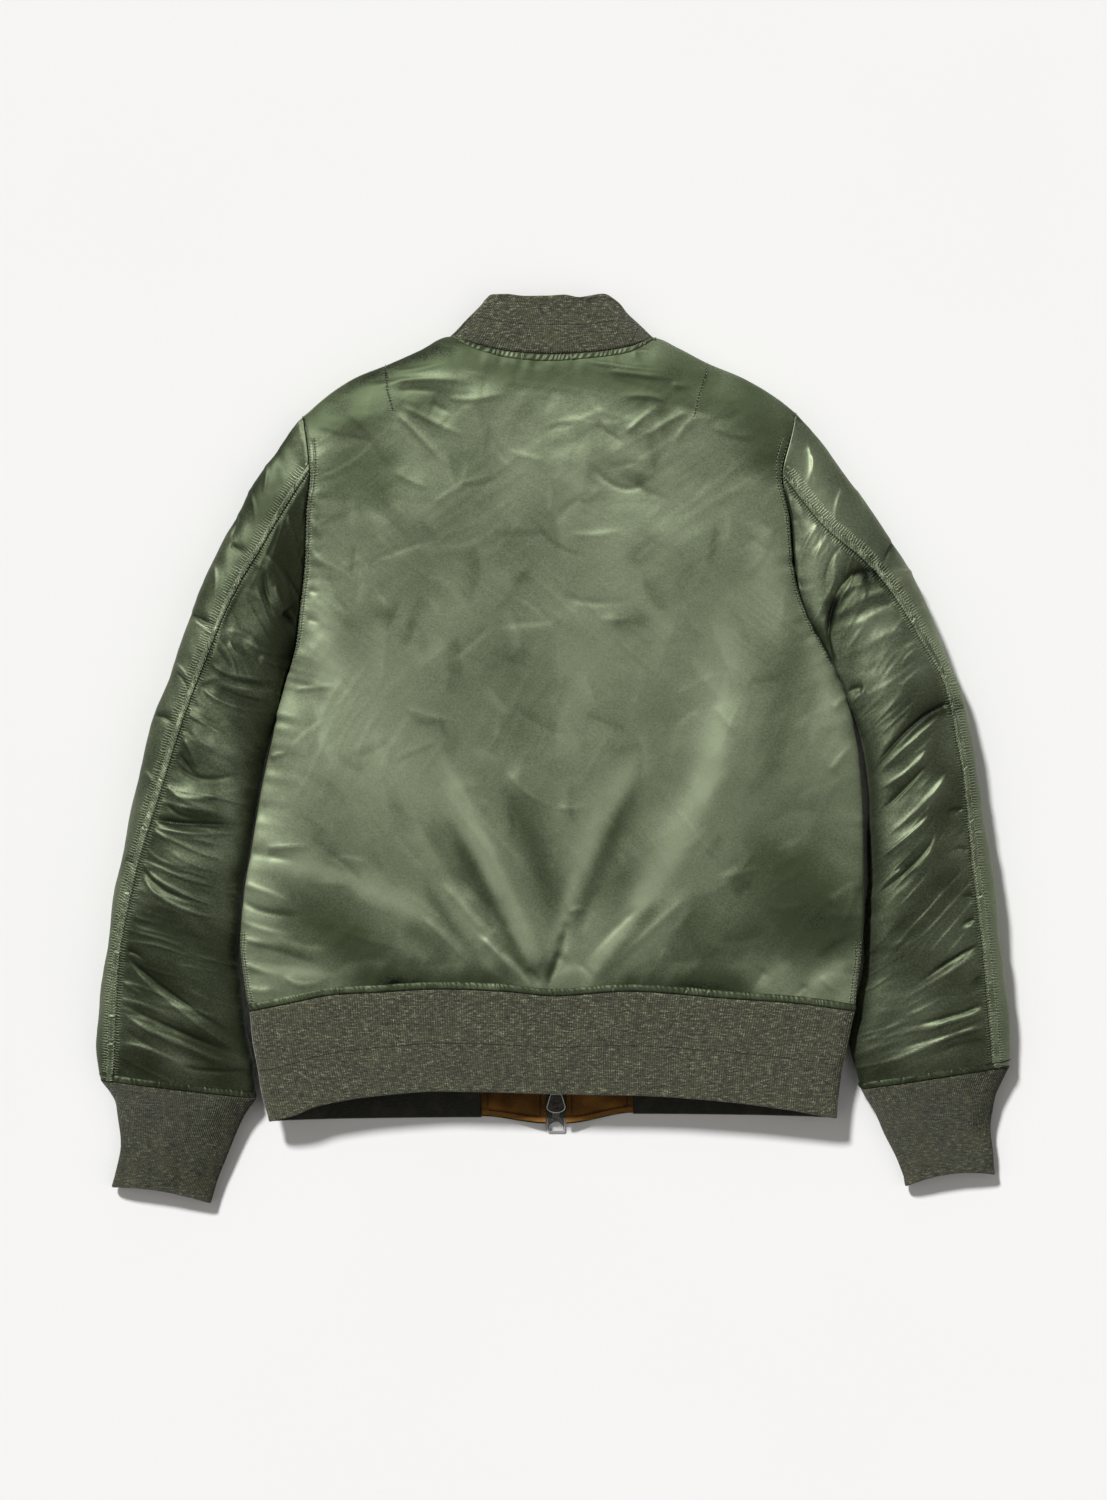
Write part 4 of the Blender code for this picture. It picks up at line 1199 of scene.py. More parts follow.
def object_from(
    name: str, points: Array, faces: list, values: dict[str, Array] | None = None,
    uv: Array | None = None,
) -> Thing:
    """Makes a smooth-shaded object from points in millimetres.

    Args:
        name: the object's name.
        points: one row each.
        faces: tuples or lists of point numbers.
        values: named numbers for each point.
        uv: two numbers for each point.

    Returns:
        The object, in the scene.
    """
    mesh = bpy.data.meshes.new(name)
    mesh.from_pydata((points * MM).tolist(), [], faces)
    mesh.shade_smooth()
    for key, numbers in (values or {}).items():
        layer = mesh.attributes.new(key, "FLOAT", "POINT")
        layer.data.foreach_set("value", np.ascontiguousarray(numbers, np.float32).ravel())
    if uv is not None:
        corner = np.zeros(len(mesh.loops), np.int32)
        mesh.loops.foreach_get("vertex_index", corner)
        layer = mesh.uv_layers.new(name="cloth")
        layer.data.foreach_set("uv", (uv[corner] * MM).astype(np.float32).ravel())
    thing = bpy.data.objects.new(name, mesh)
    bpy.context.scene.collection.objects.link(thing)
    return thing


def quads(index: Array, turned: bool = False) -> list[list[int]]:
    """Faces of a grid of point numbers, or the same faces seen from the other side.

    Args:
        index: the point numbers.
        turned: whether the faces look the other way.

    Returns:
        Four point numbers for each face.
    """
    a, b, c, d = index[:-1, :-1], index[1:, :-1], index[1:, 1:], index[:-1, 1:]
    order = (a, d, c, b) if turned else (a, b, c, d)
    return np.stack([corner.ravel() for corner in order], axis=1).tolist()


def rim(outer: Array, inner: Array, step: int) -> list[list[int]]:
    """Faces between a fine line of points and a line with one point for each `step` of them.

    Args:
        outer, inner: point numbers of the fine line and of the coarse one.
        step: how much finer it is.

    Returns:
        The point numbers of each face.
    """
    columns = [outer[:-1:step], inner[:-1], inner[1:], outer[step::step]]
    columns += [outer[step - k :: step][: len(inner) - 1] for k in range(1, step)]
    return np.stack(columns, axis=1).tolist()


def shell(
    name: str, outer: Array, wall: float = WALL, values: dict[str, Array] | None = None,
    straight: bool = False,
) -> Thing:
    """Makes a closed thin shell: a fine outer grid over an inner one INNER_STEP times coarser.

    Args:
        name: the object's name.
        outer: grid of points; both its sides have a whole number of steps.
        wall: thickness, inwards along the normals.
        values: named numbers for each point of the outer grid.
        straight: whether the cloth's threads run straight over the plan, or along the grid.

    Returns:
        The object.
    """
    step = INNER_STEP
    inner = (outer - grid_normals(outer) * wall)[::step, ::step]
    out = np.arange(outer[..., 0].size).reshape(outer.shape[:2])
    back = out.size + np.arange(inner[..., 0].size).reshape(inner.shape[:2])
    faces = quads(out) + quads(back, turned=True)
    faces += rim(out[0, ::-1], back[0, ::-1], step) + rim(out[-1], back[-1], step)
    faces += rim(out[:, 0], back[:, 0], step) + rim(out[::-1, -1], back[::-1, -1], step)

    def both(numbers: Array, size: tuple[int, ...]) -> Array:
        """Numbers of the outer points, then of the inner ones."""
        return np.concatenate([numbers.reshape(size), numbers[::step, ::step].reshape(size)])

    points = np.concatenate([outer.reshape(-1, 3), inner.reshape(-1, 3)])
    carried = {key: both(numbers, (-1,)) for key, numbers in (values or {}).items()}
    flat = outer[..., :2] if straight else lengths(outer)
    return object_from(name, points, faces, carried, both(flat, (-1, 2)))


def folded(name: str, outer: Array, base: Array, closed: bool, values: dict[str, Array]) -> Thing:
    """Makes a doubled cloth: an outer grid, turned round its last row and run back inside.

    Args:
        name: the object's name.
        outer: grid of points from the seam to the folded edge.
        base: the same grid without its fine relief, which the inner side follows.
        closed: whether the last column is the first one again.
        values: named numbers for each point of the outer grid.

    Returns:
        The object.
    """
    turn_steps, last = 4, len(outer) - 1
    normals = grid_normals(base, closed)
    onwards = unit(base[-1] - base[-2])
    centre = base[-1] - normals[-1] * WALL / 2
    turn = [
        centre + WALL / 2 * (normals[-1] * math.cos(a) + onwards * math.sin(a))
        for a in np.linspace(0, np.pi, turn_steps + 1)[1:-1]
    ]
    kept = np.unique(np.append(np.arange(0, last + 1, INNER_STEP), last))[::-1]
    grid = np.concatenate([outer, turn, (base - normals * WALL)[kept]])
    source = np.concatenate([np.arange(last + 1), [last] * len(turn), kept])
    if closed:
        grid = grid[:, :-1]
    rows, columns = grid.shape[:2]
    index = np.arange(rows * columns).reshape(rows, columns)
    looped = np.concatenate([index, index[:1]])
    if closed:
        faces = quads(np.concatenate([looped, looped[:, :1]], axis=1))
    else:
        faces = quads(looped) + [index[::-1, 0].tolist(), index[:, -1].tolist()]
    carried = {key: numbers[source][:, :columns] for key, numbers in values.items()}
    flat = lengths(base)[source][:, :columns]
    return object_from(name, grid.reshape(-1, 3), faces, carried, flat.reshape(-1, 2))


def inset_seams(grid: Array, sides: str) -> Array:
    """Draws the named sides of a grid in by half a seam's gap: t top, b bottom, l left, r right.

    Args:
        grid: points of a panel.
        sides: the letters of its sides.

    Returns:
        The moved points.
    """
    moved = grid.copy()
    for side, axis, edge, inner in (("t", 0, 0, 1), ("b", 0, -1, -2), ("l", 1, 0, 1), ("r", 1, -1, -2)):
        if side in sides:
            inwards = unit(np.take(grid, inner, axis) - np.take(grid, edge, axis))
            moved.swapaxes(0, axis)[edge] += inwards * SEAM_GAP / 2
    return moved


def across_from(grid: Array, distances: Array) -> Array:
    """Points of each row of a grid at given lengths from its first column.

    Args:
        grid: points.
        distances: the lengths.

    Returns:
        A row of points for each row of the grid.
    """
    found = np.empty((len(grid), len(distances), 3))
    for row, (length, points) in enumerate(zip(from_zero(gaps(grid, 1), 1), grid)):
        for axis in range(3):
            found[row, :, axis] = np.interp(distances, length, points[:, axis])
    return found


# ---------------------------------------------------------------- the garment's skin


@dataclass(frozen=True)
class Torso:
    """The skin of the body: the back over the fronts, from the shoulder line to the hem."""

    def shoulder_turn(self, row: Array) -> Array:
        """Share of its own section that the cloth has, down from the fold: a quarter circle."""
        return np.sqrt(1 - (1 - np.minimum(1, row / FOLD_RADIUS_ROWS)) ** 2)

    def ends_shape(self, row: Array, share: Array, top_y: Array, drop: Array | float = 0) -> Array:
        """Fades the shapes of the shoulder line and of the hem seam in from both ends.

        Args:
            row, share: where on the panel.
            top_y: the shoulder line's own place there.
            drop: how much lower than its table the hem seam lies.

        Returns:
            How far points move along Y.
        """
        at_top = top_y - between_ends(BACK_TOP, "y", share)
        hem_x = between_ends(HEM_SEAM, "x", share)
        at_hem = smooth(hem_x, HEM_SEAM["x"], HEM_SEAM["y"]) - HEM_SEAM["y"][0] - drop
        first, last = HEM_ROWS
        return at_top * (1 - ease(row / TOP_ROWS)) + at_hem * ease((row - first) / (last - first))

    def corners(self) -> Array:
        """Shares of the shoulder-to-shoulder width at the two corners of the neck."""
        left, right = BACK_TOP["x"][0], BACK_TOP["x"][-1]
        return (BACK_TOP["x"][NECK_CORNERS] - left) / (right - left)

    def back(self, row: Array | float, share: Array | float) -> Array:
        """Works out the back: straight lines from side to side, under a dome.

        Args:
            row: rows from 0 at the shoulders to 13 at the hem.
            share: shares of the way from the left side to the right one.

        Returns:
            A grid of points.
        """
        row, share = np.reshape(row, (-1, 1)), np.reshape(share, (1, -1))
        left_x, left_y, right_x, right_y = read(BODY, row, "left_x", "left_y", "right_x", "right_y")
        edge_z, crown = read(BODY, row, "back_edge_z", "crown_z")
        top_x = between_ends(BACK_TOP, "x", share)
        top_y, top_z = read(BACK_TOP, top_x, "y", "z")
        x = mix(left_x, right_x, share)
        y = mix(left_y, right_y, share) + self.ends_shape(row, share, top_y)
        full = edge_z + (crown - edge_z) * dome(share, BODY_FULLNESS)
        return grid_from(x, y, mix(top_z, full, self.shoulder_turn(row)))

    def front(self, side: Side, row: Array | float, out: Array | float) -> Array:
        """Works out a front: straight lines from its side, sinking to the surface.

        Args:
            side: which front.
            row: rows from 0 to 13.
            out: shares of the way from the side to the zip.

        Returns:
            A grid of points.
        """
        row, out = np.reshape(row, (-1, 1)), np.reshape(out, (1, -1))
        corner = self.corner(side)
        side_x, side_y, edge_z = read(BODY, row, f"{side.name}_x", f"{side.name}_y", "front_edge_z")
        far_x, far_y = read(BODY, row, f"{side.other}_x", f"{side.other}_y")
        end = np.abs(side.zip_x - side_x) / np.abs(far_x - side_x)
        share = out * end
        from_left = share if side.sign < 0 else 1 - share
        to_zip = np.clip((share - corner) / (end - corner), 0, 1)
        drop, neck_z = read(FRONT_NECK, to_zip, "drop", "z")
        top_y, top_z = read(BACK_TOP, between_ends(BACK_TOP, "x", from_left), "y", "z")
        top_y = np.where(to_zip > 0, BACK_TOP["y"][NECK_CORNERS[0]] - drop, top_y)
        top_z = np.where(to_zip > 0, neck_z, top_z)
        hem_drop = FRONT_HEM_DROP * np.minimum(1, share / FRONT_DROP_SHARE)
        x = mix(side_x, far_x, share)
        y = mix(side_y, far_y, share) + self.ends_shape(row, from_left, top_y, hem_drop)
        z = mix(top_z, edge_z * (1 - underside(share)), self.shoulder_turn(row)) + zip_lift(x, y)
        return grid_from(x, y, z)

    def corner(self, side: Side) -> float:
        """Share of the width from a side to its own corner of the neck."""
        return self.corners()[0] if side.sign < 0 else 1 - self.corners()[1]

    def hem(self, top: Array, lower: Table, rows: int, in_front: bool) -> Array:
        """Works out the rib hem, from one row of the skin down to its own lower edge.

        Args:
            top: that row.
            lower: x and y of the edge.
            rows: how many rows of points.
            in_front: whether it sinks to the surface or arches over.

        Returns:
            A grid of points.
        """
        first_x, last_x = HEM["left_x"][0], HEM["right_x"][0]
        share = (top[:, 0] - first_x) / (last_x - first_x)
        top_shape = top[:, 1] - mix(HEM["left_y"][0], HEM["right_y"][0], share)
        down = np.linspace(0, 1, rows)[:, None]
        left_x, left_y, right_x, right_y = read(HEM, down, "left_x", "left_y", "right_x", "right_y")
        side_z, crown = read(HEM, down, "side_z", "crown_z")
        x = mix(left_x, right_x, share)
        if in_front:
            keep = ease(np.abs(top[:, 0] - ZIP_X) / HEM_TAPER)
            x = mix(top[:, 0], x, mix(1, keep, ease(down / 0.3)))
        low_shape = smooth(x, lower["x"], lower["y"]) - between_ends(lower, "y", share)
        y = mix(left_y, right_y, share) + mix(top_shape, low_shape, down)
        if in_front:
            z = side_z * (1 - underside(share)) + zip_lift(x, y)
        else:
            z = side_z + (crown - side_z) * dome(share, BODY_FULLNESS)
        return grid_from(x, y, z)

    def side_line(self, side: Side, upper: bool, step: Array) -> Array:
        """Points of an armhole on the back or the front, at steps of ARMHOLE_ROWS.

        Args:
            side: which armhole.
            upper: whether on the back.
            step: the steps.

        Returns:
            The points.
        """
        row = np.interp(step, np.arange(len(ARMHOLE_ROWS)), ARMHOLE_ROWS)
        edge_z = "back_edge_z" if upper else "front_edge_z"
        x, y, edge = read(BODY, row, f"{side.name}_x", f"{side.name}_y", edge_z)
        return grid_from(x, y, mix(BACK_TOP["z"][0], edge, self.shoulder_turn(row)))

    def collar_lines(self, side_steps: int, back_steps: int) -> tuple[Array, Array]:
        """Works out the collar's two long sides, from the left front round to the right one.

        Args:
            side_steps: steps along each front.
            back_steps: steps behind.

        Returns:
            The points of its seam and of its free edge.
        """
        low_back = self.back(0.0, np.linspace(*self.corners(), back_steps + 1))[0]
        run = np.linspace(0, 1, side_steps + 1)
        lows = []
        width = BODY["right_x"][0] - BODY["left_x"][0]
        for side in (LEFT, RIGHT):
            end = abs(side.zip_x - BODY[f"{side.name}_x"][0]) / width
            lows.append(self.front(side, 0.0, mix(self.corner(side), end, run) / end)[0])
        along = (low_back[:, 0] - low_back[0, 0]) / (low_back[-1, 0] - low_back[0, 0])
        top_x = between_ends(COLLAR_TOP, "x", along)
        top_back = np.stack([top_x, *read(COLLAR_TOP, top_x, "y", "z")], axis=1)
        tops = [self.collar_front(low, at) for low, at in zip(lows, (top_back[0], top_back[-1]))]
        low = np.concatenate([lows[0][::-1][:-1], low_back, lows[1][1:]])
        top = np.concatenate([tops[0][::-1][:-1], top_back, tops[1][1:]])
        return low, top

    def collar_front(self, low: Array, corner: Array) -> Array:
        """Free edge of the collar in front, from the top corner down to the zip: a quarter wave.

        Args:
            low: the collar's seam in front, from the shoulder to the zip.
            corner: where the edge starts.

        Returns:
            A point of the edge for each point of the seam.
        """
        q = np.linspace(0, 1, len(low))
        end = low[-1] + [0, COLLAR_HEIGHT, 0]
        turns = (q, np.sin(q * np.pi / 2), ease(q * COLLAR_DROP))
        return np.stack([mix(a, b, turn) for a, b, turn in zip(corner, end, turns)], axis=1)


@dataclass(frozen=True)
class Arm:
    """The skin of one sleeve and its cuff."""

    torso: Torso
    side: Side
    rows: Table
    seam: Table
    cuff: Table

    def crossings(self, outer: Array, inner: Array) -> Array:
        """Share of the way from outer to inner where each ring's line meets the upper seam.

        Args:
            outer, inner: plan points of each ring's two ends.

        Returns:
            The shares.
        """
        fine = np.linspace(0, 1, 400)
        knots = np.linspace(0, 1, len(self.seam["x"]))
        x, y = smooth(fine, knots, self.seam["x"]), smooth(fine, knots, self.seam["y"])
        across = inner - outer
        dx, dy = x - outer[:, :1], y - outer[:, 1:]
        cross = dx * across[:, 1:] - dy * across[:, :1]
        share = (dx * across[:, :1] + dy * across[:, 1:]) / (across**2).sum(axis=1)[:, None]
        off = np.where((share < 0) | (share > 1), np.inf, np.abs(cross))
        return share[np.arange(len(share)), off.argmin(axis=1)]

    def half(self, ring: Array, step: Array, upper: bool) -> Array:
        """Works out the upper or lower half of the sleeve.

        The plan runs straight from the outer edge to the inner one, and takes the armhole's own
        shape near it. The section is a dome above and sinks to the surface below.

        Args:
            ring: rings from 0 at the armhole to 12 at the cuff.
            step: steps round the armhole, from the outer edge to the inner one.
            upper: which half.

        Returns:
            A grid of points.
        """
        outer, inner = edge_points(self.rows, ring)
        outer_z, inner_z, crown = (
            values[:, None] for values in read(self.rows, ring, "outer_z", "inner_z", "crown_z")
        )
        hole = self.torso.side_line(self.side, upper, step)
        start, chord = outer[0], inner[0] - outer[0]
        hole_share = (hole[:, :2] - start) @ chord / (chord @ chord)
        seam_at = SEAM_STEP if upper else UNDER_SEAM_STEP
        seam_share = self.crossings(outer, inner) if upper else np.full(len(ring), UNDER_SEAM_ACROSS)
        turn = np.arccos(1 - 2 * seam_share)[:, None]
        beyond = turn + (np.pi - turn) * (step - seam_at) / (LAST_HOLE_STEP - seam_at)
        angle = np.where(step <= seam_at, turn * step / seam_at, beyond)
        ring = ring[:, None]
        share = mix(hole_share, (1 - np.cos(angle)) / 2, ease(ring / SECTION_RINGS))
        offset = hole[:, :2] - (start + hole_share[:, None] * chord)
        fade = (1 - ease(ring / ARMHOLE_PLAN_RINGS))[..., None]
        plan = outer[:, None] + share[..., None] * (inner - outer)[:, None] + offset * fade
        z = self.section(mix(outer_z, inner_z, share), crown, share, upper)
        away = np.linalg.norm(plan - hole[:, :2], axis=2)
        z = mix(z, hole[:, 2], (1 - np.minimum(1, away / ARMHOLE_REACH)) ** 2)
        return np.concatenate([plan, z[..., None]], axis=2)

    def section(self, edge: Array, crown: Array, share: Array, upper: bool | Array) -> Array:
        """Height of a section over its edges: a dome above, sunk to the surface below."""
        over = edge + (crown - edge) * dome(share, SLEEVE_FULLNESS)
        return np.where(upper, over, edge * (1 - underside(share)))

    def panel(self, ring: Array, over: int, under: int, outer: bool) -> Array:
        """Works out a panel, from one seam round an edge of the sleeve to the other seam.

        Args:
            ring: its rings.
            over, under: steps above and below.
            outer: whether it is the panel at the outer edge, which starts at the lower seam, or
                the one at the inner edge, which starts at the upper seam.

        Returns:
            A grid of points.
        """
        edge = 0 if outer else LAST_HOLE_STEP
        high = self.half(ring, np.linspace(*sorted((edge, SEAM_STEP)), over + 1), upper=True)
        low = self.half(ring, np.linspace(*sorted((edge, UNDER_SEAM_STEP))[::-1], under + 1), upper=False)
        return np.concatenate([low[:, :-1], high] if outer else [high, low[:, 1:]], axis=1)

    def cuff_grid(self, rows: int, steps: int) -> Array:
        """Works out the cuff: over the top from the outer edge and back underneath.

        Args:
            rows: how many rows of points.
            steps: steps above and below.

        Returns:
            A grid of points, whose last column is the first one again.
        """
        ring, step = np.array([0.0, LAST_RING]), LAST_HOLE_STEP * np.linspace(0, 1, steps + 1)
        high, low = (self.half(ring, step, upper)[1] for upper in (True, False))
        outer, chord = high[0, :2], high[-1, :2] - high[0, :2]
        top = np.concatenate([high, low[::-1][1:]])
        share = (top[:, :2] - outer) @ chord / (chord @ chord)
        above = np.arange(len(top)) <= steps
        down = np.linspace(0, 1, rows)[:, None]
        outer_x, outer_y, inner_x, inner_y, edge_z, crown, bow = read(
            self.cuff, down, "outer_x", "outer_y", "inner_x", "inner_y", "edge_z", "crown_z", "bow"
        )
        x = mix(outer_x, inner_x, share)
        y = mix(outer_y, inner_y, share) + bow * 4 * share * (1 - share)
        return grid_from(x, y, self.section(edge_z, crown, share, above))


# ---------------------------------------------------------------- finishes


class Slot(Enum):
    """The record's material slots."""

    NYLON = "shell_nylon"
    RIB = "rib_knit"
    FACING = "facing"
    TAPE = "zip_tape"
    TEETH = "zip_teeth"


class Effect(Enum):
    """Shader effects that more than one finish uses."""

    GROOVE = "seam_groove"
    PATCHES = "soft_patches"
    GRAIN = "cloth_grain"
    HATCH = "puckers_at_stitches"
    SCUFF = "metal_scuff"


@dataclass(frozen=True)
class Graph:
    """Adds and links shader nodes in one tree."""

    tree: bpy.types.NodeTree

    def feed(self, node: bpy.types.Node, inputs: dict) -> None:
        """Links sockets and sets values, by the name or number of the node's input."""
        for key, value in inputs.items():
            socket = node.inputs[key]
            if isinstance(value, Socket):
                self.tree.links.new(value, socket)
            else:
                socket.default_value = (*value, 1) if socket.type == "RGBA" else value

    def add(self, kind: str, inputs: dict | None = None, **settings: str | int) -> bpy.types.Node:
        """Adds a node.

        Args:
            kind: its type, without ShaderNode.
            inputs: what to link or set.
            settings: the node's own properties.

        Returns:
            The node.
        """
        node = self.tree.nodes.new(f"ShaderNode{kind}")
        for name, value in settings.items():
            setattr(node, name, value)
        self.feed(node, inputs or {})
        return node

    def math(self, operation: str, a: Value, b: Value = 0.0, c: Value = 0.0) -> Socket:
        """A sum, product or other operation on numbers."""
        return self.add("Math", {0: a, 1: b, 2: c}, operation=operation).outputs[0]

    def times(self, a: Value, b: Value, plus: Value = 0.0) -> Socket:
        """a times b, plus a third number."""
        return self.math("MULTIPLY_ADD", a, b, plus)

    def noise(self, scale: float, detail: float = 2.0, stretch: Colour = (1.0, 1.0, 1.0)) -> Socket:
        """Smooth noise from 0 to 1, with `scale` features to the metre in the frame's axes.

        Args:
            scale: features to the metre.
            detail: how many finer layers it has.
            stretch: shares of the scale along each axis.

        Returns:
            Its socket.
        """
        place = self.add("TexCoord").outputs["Object"]
        if stretch != (1.0, 1.0, 1.0):
            place = self.add("VectorMath", {0: place, 1: stretch}, operation="MULTIPLY").outputs[0]
        return self.add("TexNoise", {"Vector": place, "Scale": scale, "Detail": detail}).outputs["Fac"]

    def between(self, value: Value, low: float, high: float) -> Socket:
        """0 below low, 1 above high, eased between them."""
        inputs = {"Value": value, "From Min": low, "From Max": high}
        return self.add("MapRange", inputs, interpolation_type="SMOOTHSTEP").outputs["Result"]

    def blend(self, share: Value, a: Socket | Colour, b: Socket | Colour) -> Socket:
        """Blends from colour a to colour b."""
        return self.add("Mix", {0: share, 6: a, 7: b}, data_type="RGBA").outputs[2]

    def painted(self, name: str) -> Socket:
        """A number that the mesh carries at its points."""
        return self.add("Attribute", attribute_name=name).outputs["Fac"]

    def bump(self, height: Value, distance: float) -> Socket:
        """A normal tilted by a height map, with `distance` metres for one unit of height."""
        return self.add("Bump", {"Height": height, "Distance": distance}).outputs["Normal"]

    def use(self, kind: Effect) -> Socket:
        """The value of an effect at the shaded point.

        Args:
            kind: which effect.

        Returns:
            Its socket.
        """
        node = self.tree.nodes.new("ShaderNodeGroup")
        node.node_tree = effect(kind)
        return node.outputs["Value"]


def effect(kind: Effect) -> bpy.types.NodeTree:
    """Finds the node group of an effect, made the first time it is asked for.

    Args:
        kind: which effect.

    Returns:
        The group, with one output.
    """
    found = bpy.data.node_groups.get(kind.value)
    if found:
        return found
    group = bpy.data.node_groups.new(kind.value, "ShaderNodeTree")
    group.interface.new_socket("Value", in_out="OUTPUT", socket_type="NodeSocketFloat")
    graph = Graph(group)
    if kind is Effect.GROOVE:
        away = graph.math("ABSOLUTE", graph.painted("seam"))
        value = graph.times(graph.between(away, 0.8, 0.15), graph.painted("seam_on"))
    elif kind is Effect.PATCHES:
        value = graph.times(graph.noise(48.0, 3.0), 0.4, graph.times(graph.noise(13.0, 4.0), 0.6))
    elif kind is Effect.HATCH:
        uneven = graph.times(graph.noise(160.0, 1.0), 7.0)
        turns = graph.times(graph.painted("hatch_at"), 2 * math.pi / HATCH_PITCH, uneven)
        pulses = graph.between(graph.math("SINE", turns), -0.2, 0.8)
        value = graph.times(pulses, graph.painted("hatch"))
    elif kind is Effect.GRAIN:
        across = graph.noise(1100.0, 1.0, (0.5, 1.0, 1.0))
        value = graph.times(across, 0.5, graph.times(graph.noise(560.0), 0.5))
    else:
        long = graph.noise(2500.0, 3.0, (1.0, 0.12, 1.0))
        value = graph.times(long, 0.5, graph.times(graph.noise(700.0, 4.0), 0.5))
    end = group.nodes.new("NodeGroupOutput")
    group.links.new(value, end.inputs[0])
    return group


def new_material(name: str) -> tuple[Material, Graph, bpy.types.Node]:
    """A material with nothing but a Principled shader.

    Args:
        name: its name.

    Returns:
        The material, its graph and its shader.
    """
    material = bpy.data.materials.new(name)
    material.use_nodes = True
    return material, Graph(material.node_tree), material.node_tree.nodes["Principled BSDF"]


@dataclass(frozen=True)
class Nylon:
    """Satin nylon: a deep green with a broad, directional sheen from the shader and painted sheen and shade
    from the mesh, darker in its seams' grooves.
    """

    name: str
    dark: Colour = (0.066, 0.086, 0.043)
    light: Colour = (0.415, 0.48, 0.318)
    shade: Colour = (0.004, 0.005, 0.003)
    groove: Colour = (0.012, 0.015, 0.009)
    sheen_tint: Colour = (0.80, 0.88, 0.72)
    roughness: float = 0.60
    sheen: float = 0.06
    gloss: float = 0.8
    anisotropy: float = 0.5

    def make(self) -> Material:
        """Makes the material. The tone with painted sheen and painted shade that the mesh carries sets its
        colour, from dark to light, and towards near black where the painted shade is deepest.

        Returns:
            The material.
        """
        material, graph, shader = new_material(self.name)
        groove, grain, hatch = (graph.use(e) for e in (Effect.GROOVE, Effect.GRAIN, Effect.HATCH))
        tone = graph.times(graph.use(Effect.PATCHES), 0.3, -0.15)
        tone = graph.math("ADD", tone, graph.painted("nap"))
        tone = graph.math("ADD", tone, graph.times(grain, 0.5, -0.25))
        # Darker just beside the rows of stitches, with painted highlights on the puckers there.
        tone = graph.times(graph.painted("hatch"), -0.14, tone)
        tone = graph.times(hatch, 0.42, tone)
        cloth = graph.blend(graph.between(tone, 0.0, 1.0), self.dark, self.light)
        cloth = graph.blend(graph.between(tone, 0.03, -0.3), cloth, self.shade)
        cloth = graph.blend(graph.times(groove, 0.6), cloth, self.groove)
        height = graph.times(hatch, 0.6, graph.math("SUBTRACT", graph.times(grain, 0.12), groove))
        graph.feed(shader, {
            "Base Color": cloth,
            "Roughness": graph.times(grain, 0.16, self.roughness - 0.08),
            "Normal": graph.bump(height, 0.0006),
            "Tangent": graph.add("Tangent", direction_type="UV_MAP", uv_map="cloth").outputs[0],
            "Metallic": self.gloss,
            "Anisotropic": self.anisotropy,
            "Sheen Weight": self.sheen,
            "Sheen Roughness": 0.35,
            "Sheen Tint": self.sheen_tint,
        })
        return material


@dataclass(frozen=True)
class Rib:
    """Rib knit of mixed yarns: olive, near black and pale flecks, with painted shade between the wales."""

    name: str
    deep: Colour = (0.008, 0.009, 0.004)
    middle: Colour = (0.072, 0.076, 0.040)
    pale: Colour = (0.315, 0.320, 0.200)
    brown: Colour = (0.110, 0.090, 0.045)
    valley: Colour = (0.010, 0.011, 0.007)
    groove: Colour = (0.010, 0.010, 0.007)

    def make(self) -> Material:
        """Makes the material: three yarns by the value of fine noise, warmer in patches.

        Returns:
            The material.
        """
        material, graph, shader = new_material(self.name)
        fleck = graph.noise(760.0, stretch=(0.28, 1.0, 1.0))
        mixed = graph.times(graph.noise(1150.0, 1.0), 0.4, graph.times(fleck, 0.6))
        yarn = graph.blend(graph.between(mixed, 0.36, 0.52), self.deep, self.middle)
        yarn = graph.blend(graph.between(mixed, 0.54, 0.66), yarn, self.pale)
        warm = graph.between(graph.noise(55.0, 3.0), 0.48, 0.66)
        yarn = graph.blend(graph.times(warm, 0.2), yarn, self.brown)
        # Painted shade in the valleys between the wales.
        yarn = graph.blend(graph.times(graph.painted("wale"), 0.6), yarn, self.valley)
        groove = graph.use(Effect.GROOVE)
        yarn = graph.blend(graph.times(groove, 0.4), yarn, self.groove)
        height = graph.math("SUBTRACT", graph.times(mixed, 0.8), groove)
        graph.feed(shader, {
            "Base Color": yarn, "Normal": graph.bump(height, 0.0005), "Roughness": 0.92,
            "Specular IOR Level": 0.2, "Sheen Weight": 0.3, "Sheen Roughness": 0.6,
        })
        return material


@dataclass(frozen=True)
class Twill:
    """Plain cloth with fine slanting lines."""

    name: str
    dark: Colour
    light: Colour
    groove: Colour = (0.012, 0.009, 0.005)
    pitch: float = 0.9
    slant: float = 0.9
    roughness: float = 0.7

    def make(self) -> Material:
        """Makes the material. The mesh may carry "lit", painted light and shade, which makes it lighter or
        darker.

        Returns:
            The material.
        """
        material, graph, shader = new_material(self.name)
        place = graph.add("TexCoord").outputs["Object"]
        turned = graph.add("VectorRotate", {"Vector": place, "Angle": self.slant}, rotation_type="Z_AXIS")
        scale = 1 / (self.pitch * MM) / 20 * math.pi
        wave = {"Vector": turned.outputs[0], "Scale": scale, "Distortion": 0.6}
        lines = graph.add("TexWave", wave).outputs["Fac"]
        groove = graph.use(Effect.GROOVE)
        tone = graph.times(lines, 0.35, graph.times(graph.use(Effect.PATCHES), 0.9))
        tone = graph.math("ADD", tone, graph.painted("lit"))
        cloth = graph.blend(graph.between(tone, 0.2, 0.95), self.dark, self.light)
        cloth = graph.blend(graph.times(groove, 0.7), cloth, self.groove)
        height = graph.math("SUBTRACT", graph.times(lines, 0.3), groove)
        graph.feed(shader, {
            "Base Color": cloth, "Normal": graph.bump(height, 0.0004),
            "Roughness": self.roughness, "Specular IOR Level": 0.15,
        })
        return material


